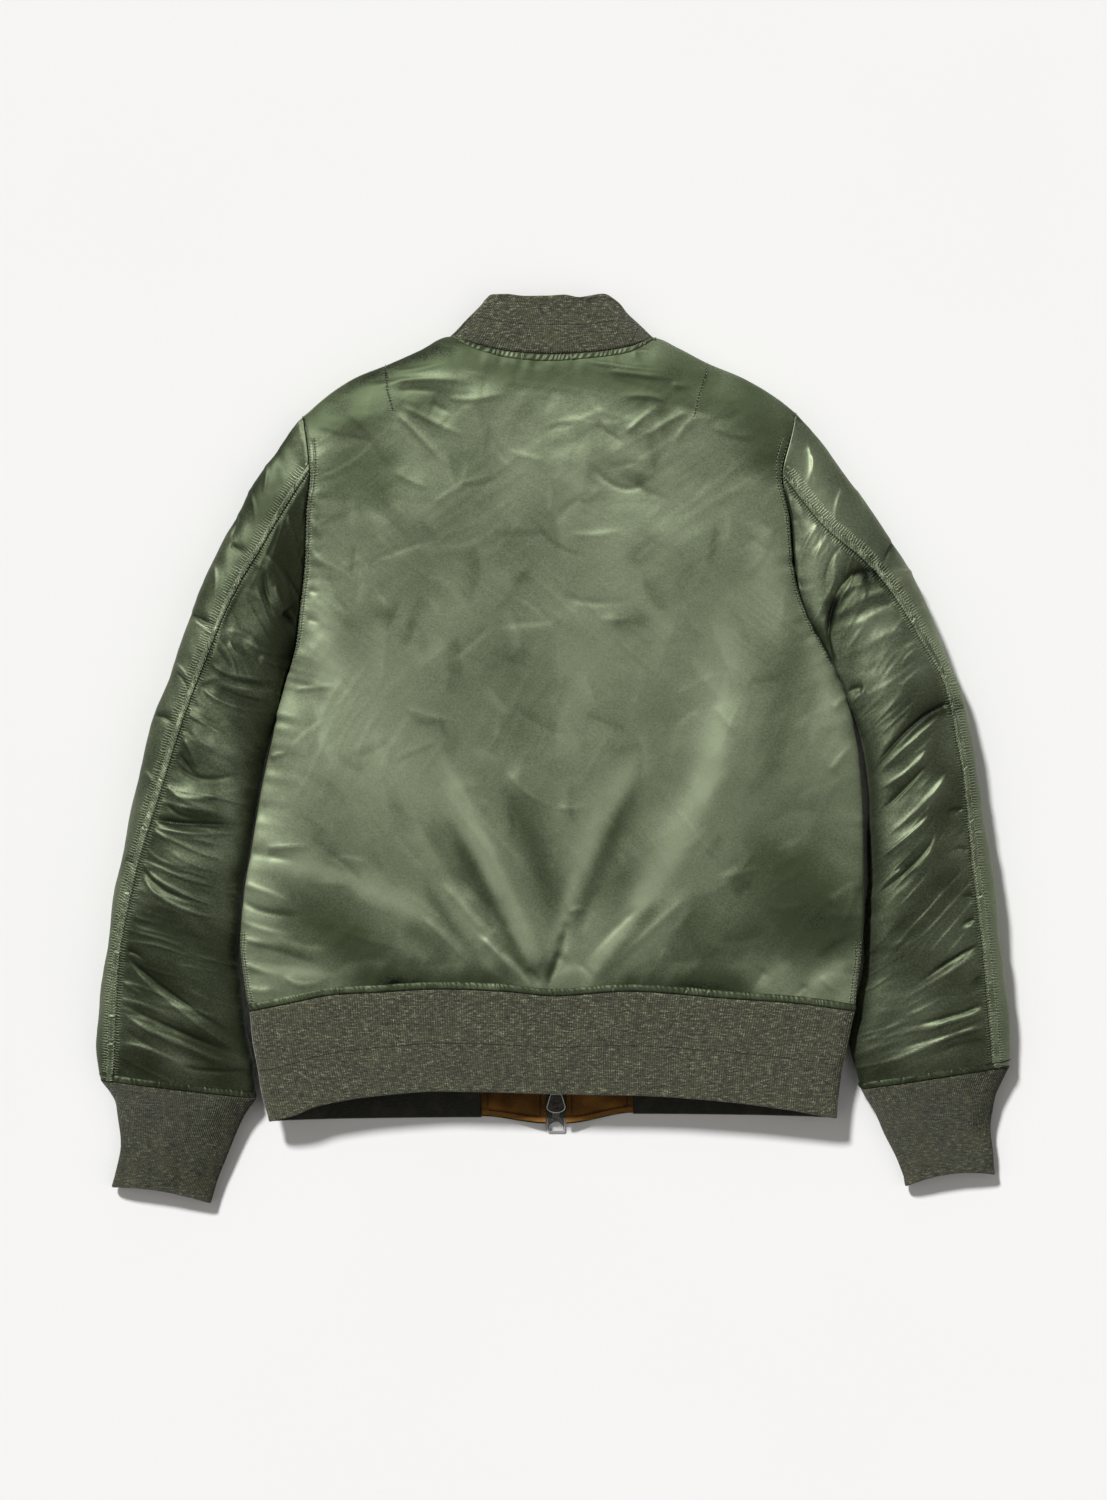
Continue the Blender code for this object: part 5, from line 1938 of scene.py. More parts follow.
@dataclass(frozen=True)
class Metal:
    """Worn metal: brushed along its length, with duller scuffs and painted highlights on its edges."""

    name: str
    dark: Colour
    light: Colour
    roughness: float = 0.35
    edge_highlight: Colour | None = None
    edge_radius: float = 0.0018

    def make(self) -> Material:
        """Makes the material. An edge is where a rounded normal leaves the face's own.

        Returns:
            The material.
        """
        material, graph, shader = new_material(self.name)
        scuff = graph.use(Effect.SCUFF)
        colour = graph.blend(graph.between(scuff, 0.35, 0.65), self.dark, self.light)
        metallic: Socket | float = 1.0
        if self.edge_highlight:
            # Painted highlight: pale and less metallic where the edge turns.
            rounded = graph.add("Bevel", {"Radius": self.edge_radius}, samples=8).outputs[0]
            normals = {0: rounded, 1: graph.add("NewGeometry").outputs["True Normal"]}
            turned = graph.add("VectorMath", normals, operation="DOT_PRODUCT").outputs["Value"]
            highlight_mask = graph.between(turned, 0.995, 0.90)
            colour = graph.blend(highlight_mask, colour, self.edge_highlight)
            metallic = graph.times(highlight_mask, -0.75, 1.0)
        graph.feed(shader, {
            "Base Color": colour,
            "Roughness": graph.times(scuff, 0.3, self.roughness - 0.15),
            "Normal": graph.bump(scuff, 0.0001),
            "Metallic": metallic,
        })
        return material


@dataclass(frozen=True)
class Thread:
    """Sewing thread."""

    name: str
    colour: Colour = (0.22, 0.255, 0.165)

    def make(self) -> Material:
        """Makes the material, lighter where its twist turns up.

        Returns:
            The material.
        """
        material, graph, shader = new_material(self.name)
        twist = graph.noise(1800.0, 1.0)
        lighter = tuple(min(1.0, 2.2 * c) for c in self.colour)
        colour = graph.blend(twist, self.colour, lighter)
        graph.feed(shader, {"Base Color": colour, "Normal": graph.bump(twist, 0.0002), "Roughness": 0.6})
        return material


# Pale colour of the painted highlights on the metal's edges.
EDGE_HIGHLIGHT = (0.92, 0.91, 0.88)
# A darker copy of the nylon: painted shade over the sleeves.
SHADED_SLEEVE_NYLON = Nylon("nylon_sleeve", (0.036, 0.047, 0.023), (0.39, 0.45, 0.295), roughness=0.52)
CUFF_RIB = Rib("rib_cuff", (0.006, 0.007, 0.004), (0.054, 0.057, 0.030), (0.200, 0.205, 0.125))
# A darker copy of the rib: painted shade for the front hem under the back's hem.
SHADED_RIB = Rib("rib_inner", (0.005, 0.006, 0.003), (0.016, 0.018, 0.010), (0.035, 0.038, 0.024))
FACING = Twill("facing_brown", (0.040, 0.016, 0.002), (0.24, 0.105, 0.018))
TAPE = Twill("zip_tape", (0.020, 0.024, 0.014), (0.060, 0.066, 0.040), pitch=0.7)
TEETH = Metal("zip_teeth", (0.16, 0.15, 0.13), (0.36, 0.34, 0.30))
SLIDER = Metal("zip_gunmetal", (0.030, 0.028, 0.024), (0.13, 0.12, 0.105), 0.40, EDGE_HIGHLIGHT)
PULL = Metal("zip_steel", (0.10, 0.10, 0.095), (0.36, 0.35, 0.34), 0.34, EDGE_HIGHLIGHT)


@dataclass(frozen=True)
class Finishes:
    """Every material of the jacket, made once."""

    body: Material = field(default_factory=Nylon("nylon_back").make)
    sleeve: Material = field(default_factory=SHADED_SLEEVE_NYLON.make)
    front: Material = field(default_factory=Nylon("nylon_front").make)
    rib: Material = field(default_factory=Rib("rib_hem").make)
    cuff: Material = field(default_factory=CUFF_RIB.make)
    shade_rib: Material = field(default_factory=SHADED_RIB.make)
    facing: Material = field(default_factory=FACING.make)
    tape: Material = field(default_factory=TAPE.make)
    thread: Material = field(default_factory=Thread("thread_green").make)
    brown_thread: Material = field(default_factory=Thread("thread_brown", (0.045, 0.020, 0.005)).make)
    teeth: Material = field(default_factory=TEETH.make)
    slider: Material = field(default_factory=SLIDER.make)
    pull: Material = field(default_factory=PULL.make)


# ---------------------------------------------------------------- dressing the skin


def seam_values(lines: list[Array], x: Array, y: Array, reach: float = 3.0) -> dict[str, Array]:
    """Finds the signed distance to the nearest of several seam lines, and where it counts.

    Args:
        lines: polylines on the plan.
        x, y: positions.
        reach: how far from a line the distance counts.

    Returns:
        The values "seam", in millimetres, and "seam_on", which dies away from a line and at its
        ends.
    """
    seam, on = np.full(x.shape, FAR), np.zeros(x.shape)
    for line in lines:
        total = gaps(line).sum()
        near = near_line(line, x, y, NEAR_SEAM)
        distance, along, signed = nearest(line, x[near], y[near])
        here = ease(reach - distance) * ease(along / 2) * ease((total - along) / 2)
        closer = distance < np.abs(seam[near])
        seam[near] = np.where(closer, signed, seam[near])
        on[near] = np.where(closer, here, on[near])
    return {"seam": seam, "seam_on": on}


def dress(thing: Thing, material: Material, slot: Slot, *nodes: str) -> Thing:
    """Gives a piece its material, puts it on the jacket, and hides the CAD nodes that it stands for.

    Args:
        thing: the piece.
        material: its finish.
        slot: not used.
        nodes: names of CAD nodes.

    Returns:
        The piece.
    """
    thing.data.materials.append(material)
    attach(thing, "jacket")
    if nodes:
        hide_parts(*nodes)
    return thing


def along_side(grid: Array, side: str) -> Array:
    """A grid turned so that its rows run along one side and its columns lead in from it."""
    if side in ("top", "bottom"):
        return (grid if side == "top" else grid[::-1]).swapaxes(0, 1)
    return grid if side == "left" else grid[:, ::-1]


def resample(grid: Array, steps: int) -> Array:
    """A grid with its rows spaced evenly along its first column.

    Args:
        grid: points.
        steps: how many even steps it gets.

    Returns:
        The points.
    """
    places = even_steps(grid[:, 0], np.arange(len(grid), dtype=float), steps)
    whole = np.minimum(places.astype(int), len(grid) - 2)
    return mix(grid[whole], grid[whole + 1], (places - whole)[:, None, None])


@dataclass(frozen=True)
class Band:
    """A strip of shell cloth turned under and sewn down beside a seam, drawn up in puckers.

    Across it the strip is a low ridge. Along it, slanting puckers follow each other with an uneven
    period, deeper in some places than in others, and here and there a tuck is folded across it.
    A strip with `rows` is sewn down along both its sides, where its puckers are short.
    """

    width: float = 7.0
    start: float = 0.0
    height: float = 1.2
    period: float = 5.0
    depth: float = 0.5
    slant: float = 0.6
    tuck: float = 30.0
    rows: tuple[float, ...] = ()
    seed: int = 3
    tone: float = 0.34
    sample: float = 0.6
    wall: float = 0.5
    clearance: float = 0.7

    def beside_rows(self, across: Array, width: float) -> Array:
        """The sum of a bell on each row of stitches."""
        return sum(bell(across * self.width - row, width) for row in self.rows)

    def ridge(self, across: Array) -> Array:
        """Height across the strip, with a groove along each row of stitches.

        Args:
            across: shares of the width.

        Returns:
            The height at each share.
        """
        height = self.height * (1 - np.abs(2 * across - 1) ** 3) - 0.15
        for row in self.rows:
            height = height - 0.45 * bell(across * self.width - row, 0.5)
        return height

    def puckers(self, across: Array, along: Array) -> Array:
        """Works out the puckers: slanting sine waves whose phase and strength drift.

        Args:
            across: shares of the width.
            along: millimetres down the strip.

        Returns:
            Their height.
        """
        drift = 0.7 * ripple(along / (2.6 * self.period), self.seed)
        phase = 2 * np.pi * (along / self.period + self.slant * across + drift)
        strength = 0.2 + 0.8 * np.abs(ripple(along / (3.5 * self.period), self.seed + 1))
        middle = np.sin(np.pi * np.clip(across, 0.04, 0.96))
        near = self.beside_rows(across, 1.3) if self.rows else middle
        return self.depth * strength * np.sin(phase) * near

    def tucks(self, across: Array, along: Array) -> Array:
        """Works out the tucks: narrow valleys with a ridge beside them, at uneven distances.

        Args:
            across: shares of the width.
            along: millimetres down the strip.

        Returns:
            Their height.
        """
        random = np.random.default_rng(self.seed + 9)
        count = int(along.max() / self.tuck)
        places = (np.arange(count) + random.uniform(0.1, 0.9, count)) * self.tuck
        sizes, leans = random.uniform(0.4, 1.0, count), random.uniform(-3, 3, count)
        total = np.zeros(np.broadcast(across, along).shape)
        for place, size, lean in zip(places, sizes, leans):
            away = along - place - lean * (across - 0.5)
            total += size * (0.8 * bell(away - 1.8, 1.4) - 1.3 * bell(away, 0.8))
        return total * np.sin(np.pi * np.clip(across, 0.1, 0.9))

    def make(self, name: str, cloth: Array, side: str) -> Thing:
        """Makes the strip on a finished panel's points.

        Args:
            name: the strip's name.
            cloth: the panel's points.
            side: the side of the panel that it runs along.

        Returns:
            The strip.
        """
        across = np.linspace(0, 1, 17)
        points = across_from(along_side(cloth, side), self.start + across * self.width)
        length = gaps(points[:, 0]).sum()
        points = resample(points, INNER_STEP * int(length / self.sample / INNER_STEP))
        if grid_normals(points)[..., 2].mean() < 0:
            points, across = points[:, ::-1], across[::-1]
        along = np.linspace(0, length, len(points))[:, None]
        uneven = 0.3 * ripple(along / (2.2 * self.period), self.seed + 2) * np.sin(np.pi * across)
        lift = self.ridge(across) + self.puckers(across, along) + uneven
        lift = np.maximum(lift + self.tucks(across, along), -0.1)
        away = np.minimum(across * self.width, self.width - across * self.width)
        # Tone with painted shade along both edges of the strip, where it meets the panel, less where rows
        # of stitches hold it down.
        nap = self.tone + 0.1 * ripple(along / 9.0, self.seed + 4) + 0 * across
        values = {"nap": nap - (0.22 if self.rows else 0.3) * bell(away, 0.9)}
        if self.rows:
            values |= {"seam": away + 0 * along, "seam_on": np.ones(lift.shape)}
            values |= {"hatch": self.beside_rows(across, 1.5) + 0 * along, "hatch_at": along + 0 * across}
        lifted = above_floor(points + grid_normals(points) * lift[..., None], self.clearance)
        return shell(name, lifted, self.wall, values)


@dataclass(frozen=True)
class Stitching:
    """A row of stitches: flat lozenges of thread, end to end, sunk at their ends."""

    length: float = 2.5
    gap: float = 0.9
    width: float = 0.55
    height: float = 0.28

    def corners(self, line: Array, normals: Array) -> Array:
        """Works out six corners for each stitch.

        Args:
            line: points of the row.
            normals: the cloth's normals there.

        Returns:
            The corners, in sixes.
        """
        reach = from_zero(gaps(line))
        pitch = self.length + self.gap
        middle = (np.arange(int(reach[-1] / pitch)) + 0.5) * pitch

        def at(values: Array, places: Array) -> Array:
            """Reads points or normals at lengths along the row."""
            return np.stack([np.interp(places, reach, values[:, k]) for k in range(3)], axis=1)

        start, end, centre = (at(line, middle + k * self.length / 2) for k in (-1, 1, 0))
        up = unit(at(normals, middle))
        aside = unit(np.cross(end - start, up)) * self.width / 2
        raised = centre + up * self.height * 0.4
        top, bottom = centre + up * self.height, centre - up * 0.1
        return np.stack([start, end, raised + aside, raised - aside, top, bottom], axis=1)

    def make(self, name: str, lines: list[tuple[Array, Array]]) -> Thing:
        """Makes several rows of stitches as one mesh, from lines of points and their normals.

        Args:
            name: the object's name.
            lines: each row's points and normals.

        Returns:
            The object.
        """
        corners = np.concatenate([self.corners(*line) for line in lines])
        lozenge = np.array(
            [(0, 3, 4), (0, 4, 2), (1, 4, 3), (1, 2, 4), (0, 5, 3), (0, 2, 5), (1, 3, 5), (1, 5, 2)]
        )
        faces = (np.arange(len(corners)) * 6)[:, None, None] + lozenge
        return object_from(name, corners.reshape(-1, 3), faces.reshape(-1, 3).tolist())


def side_rows(cloth: Array, side: str, offsets: list[float], span: slice) -> list[tuple[Array, Array]]:
    """Finds lines of points on a panel beside one of its sides.

    Args:
        cloth: the panel's points.
        side: which side.
        offsets: lengths in from it, one for each line.
        span: the part of the side that the lines run along.

    Returns:
        Each line, with the normals there.
    """
    turned, normals = along_side(cloth, side), along_side(grid_normals(cloth), side)
    found = []
    for offset in offsets:
        column = (np.cumsum(gaps(turned, 1), axis=1) < offset).sum(axis=1)
        line = across_from(turned, np.array([offset]))[:, 0]
        found.append((line[span], normals[np.arange(len(turned)), column][span]))
    return found


def drape_line(cloth: Array, line: Array, steps: int = 40) -> tuple[Array, Array]:
    """Lays a plan line on a panel, at the height of the nearest point of the cloth.

    Args:
        cloth: the panel's points.
        line: points on the plan.
        steps: how many even steps to cut it into.

    Returns:
        Points on the cloth, and the normals there.
    """
    known = np.arange(len(line), dtype=float)
    share = even_steps(line, known, steps)
    x, y = np.interp(share, known, line[:, 0]), np.interp(share, known, line[:, 1])
    flat, normals = cloth.reshape(-1, 3), grid_normals(cloth).reshape(-1, 3)
    upper = normals[:, 2] > 0.2
    flat, normals = flat[upper], normals[upper]
    found = [int(((flat[:, 0] - px) ** 2 + (flat[:, 1] - py) ** 2).argmin()) for px, py in zip(x, y)]
    return np.stack([x, y, flat[found, 2]], axis=1), normals[found]


# ---------------------------------------------------------------- the jacket's parts


@dataclass(frozen=True)
class Body:
    """The back and the two fronts."""

    torso: Torso
    finishes: Finishes
    rows: int = 300
    columns: int = 280
    front_rows: int = 100
    front_columns: int = 48
    armhole_rows: tuple[float, float] = (0.5, 5.6)
    armhole_stitches: tuple[float, float] = (1.8, 8.2)
    low_row: float = 10.8
    low_stitches: tuple[float, float] = (2.0, 6.5)
    tone: float = 0.44
    front_tone: float = 0.36
    wrinkle_shading: float = 0.09
    fade: float = 0.0003
    fade_from: float = 80.0

    def gathers(self) -> tuple[Gathers, ...]:
        """Puckers along the seams that show on the back.

        Returns:
            One for each seam and size of pucker.
        """
        back = self.torso.back
        hem = back(LAST_ROW, np.linspace(0, 1, 40))[0, :, :2]
        neck = back(0.2, np.linspace(*self.torso.corners(), 16))[0, :, :2]
        edges = 0.004, 0.996
        left, right = (back(np.linspace(0.4, 6, 18), s)[:, 0, :2] for s in edges)
        low_left, low_right = (back(np.linspace(6.5, 13, 18), s)[:, 0, :2] for s in edges)
        return (
            Gathers(hem, 9.0, 15.0, 1.5, 11),
            Gathers(hem, 21.0, 34.0, 1.3, 12),
            Gathers(neck, 6.5, 9.0, 0.8, 13),
            Gathers(left, 9.0, 14.0, 1.2, 14),
            Gathers(right, 8.0, 14.0, 1.2, 15),
            Gathers(low_left, 16.0, 16.0, 1.3, 16),
            Gathers(low_right, 16.0, 16.0, 1.3, 17),
            Gathers(left, 5.5, 22.0, 0.8, 30),
            Gathers(low_left, 7.0, 26.0, 1.0, 31),
            Gathers(low_right, 7.0, 22.0, 0.9, 32),
            Gathers(hem, 5.0, 9.0, 0.9, 33),
            Gathers(plan_line(LEFT_DART), 5.5, 14.0, 1.1, 18),
            Gathers(plan_line(RIGHT_DART), 5.5, 16.0, 1.1, 19),
        )

    def even_grid(
        self, skin: Callable[[Array | float, Array | float], Array], rows: int, columns: int,
        crowding: float = 1.0,
    ) -> tuple[Array, Array, Array]:
        """Cuts a panel into even steps, measured down it and across it at chest height.

        Args:
            skin: works out its points from rows and shares.
            rows, columns: how many steps.
            crowding: the power that crowds the first search towards share 0.

        Returns:
            The rows, the shares and the points.
        """
        fine, known = LAST_ROW * np.linspace(0, 1, 1200) ** 2, np.linspace(0, 1, 2000) ** crowding
        row = even_steps(skin(fine, 0.3)[:, 0], fine, rows)
        share = even_steps(skin(7.0, known)[0], known, columns)
        return row, share, skin(row, share)

    def stitch_lines(self, cloth: Array, row: Array) -> list[tuple[Array, Array]]:
        """Two rows of stitches by each armhole and by each side seam above the hem.

        Args:
            cloth: the back's points.
            row: the row of the tables that each of its rows is at.

        Returns:
            Each line of points, with its normals.
        """
        first, last, low = (int(np.searchsorted(row, at)) for at in (*self.armhole_rows, self.low_row))
        armhole = (self.armhole_stitches, slice(first, last))
        low_part = (self.low_stitches, slice(low, None))
        places = (("left", armhole), ("right", armhole), ("right", low_part), ("left", low_part))
        return [line for side, (offsets, span) in places for line in side_rows(cloth, side, offsets, span)]

    def back(self) -> None:
        """Builds the back, with its stitched seams, darts and puckered strips."""
        row, share, skin = self.even_grid(self.torso.back, self.rows, self.columns)
        wrinkles = Wrinkles(
            above=BACK_CREASES, gathers=self.gathers(), swell=0.8, swell_size=110.0, crumple=0.03, drag=0.3,
            drag_size=10.0, slants=BACK_SLANTS, marks=scattered_marks(90, 51, 0.9), seed=5,
        )
        cloth = wrinkles.lift(inset_seams(skin, "tblr"))
        doubled = self.stitch_lines(cloth, row)
        darts = [plan_line(LEFT_DART), plan_line(RIGHT_DART)]
        x, y = cloth[..., 0], cloth[..., 1]
        values = seam_values([line[::8, :2] for line, _ in doubled] + darts, x, y)
        values["hatch"] = 0.8 * values["seam_on"] * bell(values["seam"], 1.7)
        values["hatch_at"] = y
        gathered = sum(g.heights(x, y) for g in wrinkles.gathers)
        # Tone with painted shading: painted shade darker towards the neck, painted sheen and shade from the
        # tone strokes and small marks, and painted sheen and shade on the drag lines and puckers.
        values["nap"] = (
            self.tone - self.fade * (y - self.fade_from) + stroke_heights(BACK_SHEEN_AND_SHADE, x, y, 0.0, 0.3, 0.3)
            + stroke_heights(scattered_marks(170, 52, 0.15), x, y, 0.0, 0.3, 0.3)
            + self.wrinkle_shading * wrinkles.drag * wrinkles.drag_relief(x, y) + self.wrinkle_shading * gathered
        )
        panel = shell("back", cloth, values=values, straight=True)
        dress(panel, self.finishes.body, Slot.NYLON, "back_panel")
        first, last = (int(np.searchsorted(share, corner)) for corner in self.torso.corners())
        trims = [
            Band(seed=21, depth=0.55, tone=0.22).make("neck_strip", cloth[:, first : last + 1], "top"),
            Band(seed=22, height=1.3, depth=0.6, period=4.6, tone=0.20).make("hem_strip", cloth, "bottom"),
            Stitching().make("back_stitches", doubled + [drape_line(cloth, line) for line in darts]),
        ]
        for trim, look in zip(trims, (self.finishes.body, self.finishes.body, self.finishes.thread)):
            dress(trim, look, Slot.NYLON)

    def front(self, side: Side) -> None:
        """Builds a front, on the surface.

        Args:
            side: which one.
        """
        _, _, skin = self.even_grid(
            lambda row, out: self.torso.front(side, row, out), self.front_rows, self.front_columns, 1.5
        )
        skin = side.facing_up(skin)
        wrinkles = Wrinkles(below=FRONT_CREASES, swell=0.25, crumple=0.06, seed=8 + side.sign)
        cloth = wrinkles.lift(inset_seams(skin, "tblr"), dip=0.3)
        nap = {"nap": np.full(cloth.shape[:2], self.front_tone)}
        panel = shell(f"front_{side.name}_cloth", cloth, values=nap, straight=True)
        dress(panel, self.finishes.front, Slot.NYLON, f"front_{side.name}")

    def build(self) -> None:
        """Builds and dresses the three panels."""
        self.back()
        for side in (LEFT, RIGHT):
            self.front(side)


@dataclass(frozen=True)
class Sleeve:
    """One sleeve: its outer and inner panels, the felled seam between them and its stitches."""

    arm: Arm
    finishes: Finishes
    creases: Table
    shading_strokes: Table
    slants: Table
    rows: int = 440
    over: int = 100
    under: int = 20
    outer_over: int = 36
    outer_under: int = 24
    gather: float = 1.0
    bulge: float = 0.0
    inner_tone: float = 0.12
    outer_tone: float = 0.24
    hatch_reach: float = 3.4
    hatch_above: float = 9.0
    stitch_lift: float = 0.5
    seam_width: float = 7.5
    seam_stitches: tuple[float, float] = (1.5, 7.1)
    valley_tone: float = 0.10
    crest_highlight: float = 0.055

    def rings(self) -> Array:
        """Rings at equal lengths along the middle of the sleeve.

        Returns:
            The rings.
        """
        known = np.linspace(0, LAST_RING, 600)
        outer, inner = edge_points(self.arm.rows, known)
        return even_steps(mix((outer + inner) / 2, outer, 0.6), known, self.rows)

    def gathers(self) -> tuple[Gathers, ...]:
        """Puckers along the felled seam, at the cuff and at the armhole.

        Returns:
            The felled seam's three, then one for the cuff, the armhole and the inner edge.
        """
        side, half = self.arm.side, self.arm.half
        seam = half(np.linspace(0.1, LAST_RING, 40), np.array([float(SEAM_STEP)]), True)[:, 0, :2]
        cuff = half(np.array([0.0, LAST_RING]), np.linspace(0.3, 8.7, 14), True)[1, :, :2]
        hole = self.arm.torso.side_line(side, True, np.linspace(0.5, 8.5, 18))[:, :2]
        inner = half(np.linspace(1, LAST_RING, 30), np.array([8.9]), True)[:, 0, :2]
        seed = 40 + 10 * side.sign
        return (
            Gathers(seam, 3.4, 6.5, 0.55, seed),
            Gathers(seam, 9.0, 14.0, 0.9 * self.gather, seed + 5),
            Gathers(seam, 22.0, 30.0, 1.0 * self.gather, seed + 1),
            Gathers(cuff, 6.0, 11.0, 1.0, seed + 2),
            Gathers(hole, 5.0, 11.0, 0.8, seed + 3),
            Gathers(inner, 13.0, 22.0, 1.0, seed + 4),
        )

    def wrinkles(self, outer: bool) -> Wrinkles:
        """What lifts the outer panel, or the inner one, which is drawn up more.

        Args:
            outer: whether it is the outer panel.

        Returns:
            Its wrinkles.
        """
        gathers = self.gathers()
        seed = 60 + self.arm.side.sign
        shared = {"above": self.creases, "swell_size": 60.0, "crumple": 0.1, "seed": seed}
        if outer:
            return Wrinkles(gathers=(gathers[0], *gathers[3:5]), swell=0.6, **shared)
        return Wrinkles(gathers=gathers, swell=0.9, crease=0.86, drag=0.95, slants=self.slants, **shared)

    def lean(self, cloth: Array, ring: Array) -> Array:
        """Lets the lower part of the sleeve bulge towards the body, where they lie apart.

        Args:
            cloth: a panel's points.
            ring: its rings.

        Returns:
            The moved points.
        """
        if not self.bulge:
            return cloth
        outer, inner = (points[:, None] for points in edge_points(self.arm.rows, ring))
        chord = inner - outer
        length = np.linalg.norm(chord, axis=2)
        share = ((cloth[..., :2] - outer) * chord).sum(axis=2) / length**2
        low = ease((15 - cloth[..., 2]) / 6) * ease((share - 0.8) / 0.16)
        along = (ease((ring - 5.4) / 1.2) * ease((11.9 - ring) / 1.5))[:, None]
        moved = cloth.copy()
        moved[..., :2] += (self.bulge * low * along / length)[..., None] * chord
        return moved

    def hatch(self, cloth: Array, side: str, covered: float) -> dict[str, Array]:
        """Finds where the fine puckers of the felled seam show on a panel.

        Args:
            cloth: the panel's points.
            side: the side where its seam is.
            covered: how far in from that side the strip over the seam reaches.

        Returns:
            The values "hatch", how much they show, and "hatch_at", millimetres along the seam.
        """
        edge = along_side(cloth, side)[::8, 0, :2]
        distance, along, _ = nearest(edge, cloth[..., 0].ravel(), cloth[..., 1].ravel())
        near = bell(np.maximum(distance - covered, 0), self.hatch_reach).reshape(cloth.shape[:2])
        shown = near * (cloth[..., 2] > self.hatch_above)
        return {"hatch": shown, "hatch_at": along.reshape(cloth.shape[:2])}

    def panel(self, outer: bool) -> tuple[Thing, Array, list[Thing]]:
        """Makes and dresses one panel, with the strips sewn to it.

        Args:
            outer: whether it is the panel at the outer edge.

        Returns:
            The panel, the points of its skin, and the strips and stitches.
        """
        side, ring = self.arm.side, self.rings()
        name = f"sleeve_{'top' if outer else 'under'}_{side.name}"
        over, under = (self.outer_over, self.outer_under) if outer else (self.over, self.under)
        skin = self.arm.panel(ring, over, under, outer)
        if side.sign > 0:
            skin = skin[:, ::-1]
        seam_side = "right" if outer == (side.sign < 0) else "left"
        wrinkles = self.wrinkles(outer)
        cloth = self.lean(wrinkles.lift(inset_seams(skin, "tblr"), dip=0.5), ring)
        x, y = cloth[..., 0], cloth[..., 1]
        # Tone with painted sheen and painted shade from the sleeve's strokes.
        tone = (
            (self.outer_tone if outer else self.inner_tone) + 0.04 * waves(x, y, 60.0, 90 + side.sign)
            + stroke_heights(self.shading_strokes, x, y, 0.0, 0.4, 0.4)
        )
        relief = wrinkles.relief(x, y)
        # Painted shade in the creases' valleys and painted highlights on their crests.
        tone += self.valley_tone * np.clip(relief, -4, 0) + self.crest_highlight * np.clip(relief, 0, 3)
        values = {"nap": tone} | self.hatch(cloth, seam_side, self.seam_width if outer else 0.0)
        thing = shell(f"{name}_cloth", cloth, values=values)
        dress(thing, self.finishes.sleeve, Slot.NYLON, name)
        trims = self.felled_seam(cloth, seam_side) if outer else []
        cuff_strip = Band(
            width=6.5, height=0.9, period=5.2, depth=0.25, tuck=15.0, seed=75 + side.sign, tone=0.16
        )
        strip = cuff_strip.make(name.replace("sleeve", "cuff_strip"), cloth, "bottom")
        return thing, skin, [*trims, dress(strip, self.finishes.sleeve, Slot.NYLON)]

    def felled_seam(self, cloth: Array, seam_side: str) -> list[Thing]:
        """Makes the strip over the seam and its two rows of stitches.

        Args:
            cloth: the outer panel's points.
            seam_side: the side where the seam is.

        Returns:
            The strip and the stitches.
        """
        side = self.arm.side
        felled = Band(
            width=8.4, start=0.1, height=0.55, period=2.3, depth=0.25, slant=0.15, tuck=48.0,
            rows=(1.4, 7.0), seed=70 + side.sign, tone=0.42,
        )
        strip = felled.make(f"felled_seam_{side.name}", cloth, seam_side)
        lines = side_rows(cloth, seam_side, self.seam_stitches, slice(4, -4))
        raised = [(line + normals * self.stitch_lift, normals) for line, normals in lines]
        dress(strip, self.finishes.sleeve, Slot.NYLON)
        stitches = Stitching().make(f"sleeve_stitches_{side.name}", raised)
        return [strip, dress(stitches, self.finishes.thread, Slot.NYLON)]

    def build(self) -> None:
        for thing, skin, trims in [self.panel(outer=False), self.panel(outer=True)]:
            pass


@dataclass(frozen=True)
class Ribs:
    """The doubled rib knit of the collar, the cuffs and the hem."""

    torso: Torso
    arms: tuple[Arm, ...]
    finishes: Finishes
    wale: float = 2.1
    relief: float = 0.34
    samples: int = 4
    hem_rows: int = 25
    front_hem_rows: int = 13
    collar_rows: int = 17
    cuff_rows: int = 25
    cuff_search: int = 400

    def knit(
        self, node: str, look: Material, cut: Array, seed: int, depth: float = 0.4,
        closed: bool = False,
    ) -> None:
        """Makes a folded band of knit, with raised wales along its columns.

        Args:
            node: the CAD node that it stands for.
            look: its finish.
            cut: the same points, drawn in at the seams.
            seed: picks its uneven ground.
            depth: how uneven it is.
            closed: whether the last column is the first one again.
        """
        normals = grid_normals(cut, closed)
        ridge = np.cos(np.arange(cut.shape[1]) * 2 * np.pi / self.samples + 0.4)
        x, y = cut[..., 0], cut[..., 1]
        soft = depth * waves(x, y, 45.0, seed) + 0.5 * depth * waves(x, y, 18.0, seed + 1, 3.0)
        down = np.linspace(0, 1, len(cut))[:, None]
        soft = soft * ease(down / 0.15) * ease((1 - down) / 0.1)
        roll = 0.7 * bell(1 - down, 0.05)
        base = above_floor(cut + normals * (soft + roll)[..., None])
        relief = self.relief * (ridge - 1) * ease((1 - down) / 0.05)
        values = {"wale": np.broadcast_to(0.5 - 0.5 * ridge, x.shape)}
        if not closed:
            values |= seam_values([cut[int(0.5 * len(cut)), ::24, :2]], x, y, 2.0)
        thing = folded(f"{node}_knit", base + normals * relief[..., None], base, closed, values)
        dress(thing, look, Slot.RIB, node)

    def across(self, line: Array) -> int:
        """How many steps across a line of points has, a whole number to the wale."""
        return self.samples * int(gaps(line).sum() / self.wale)

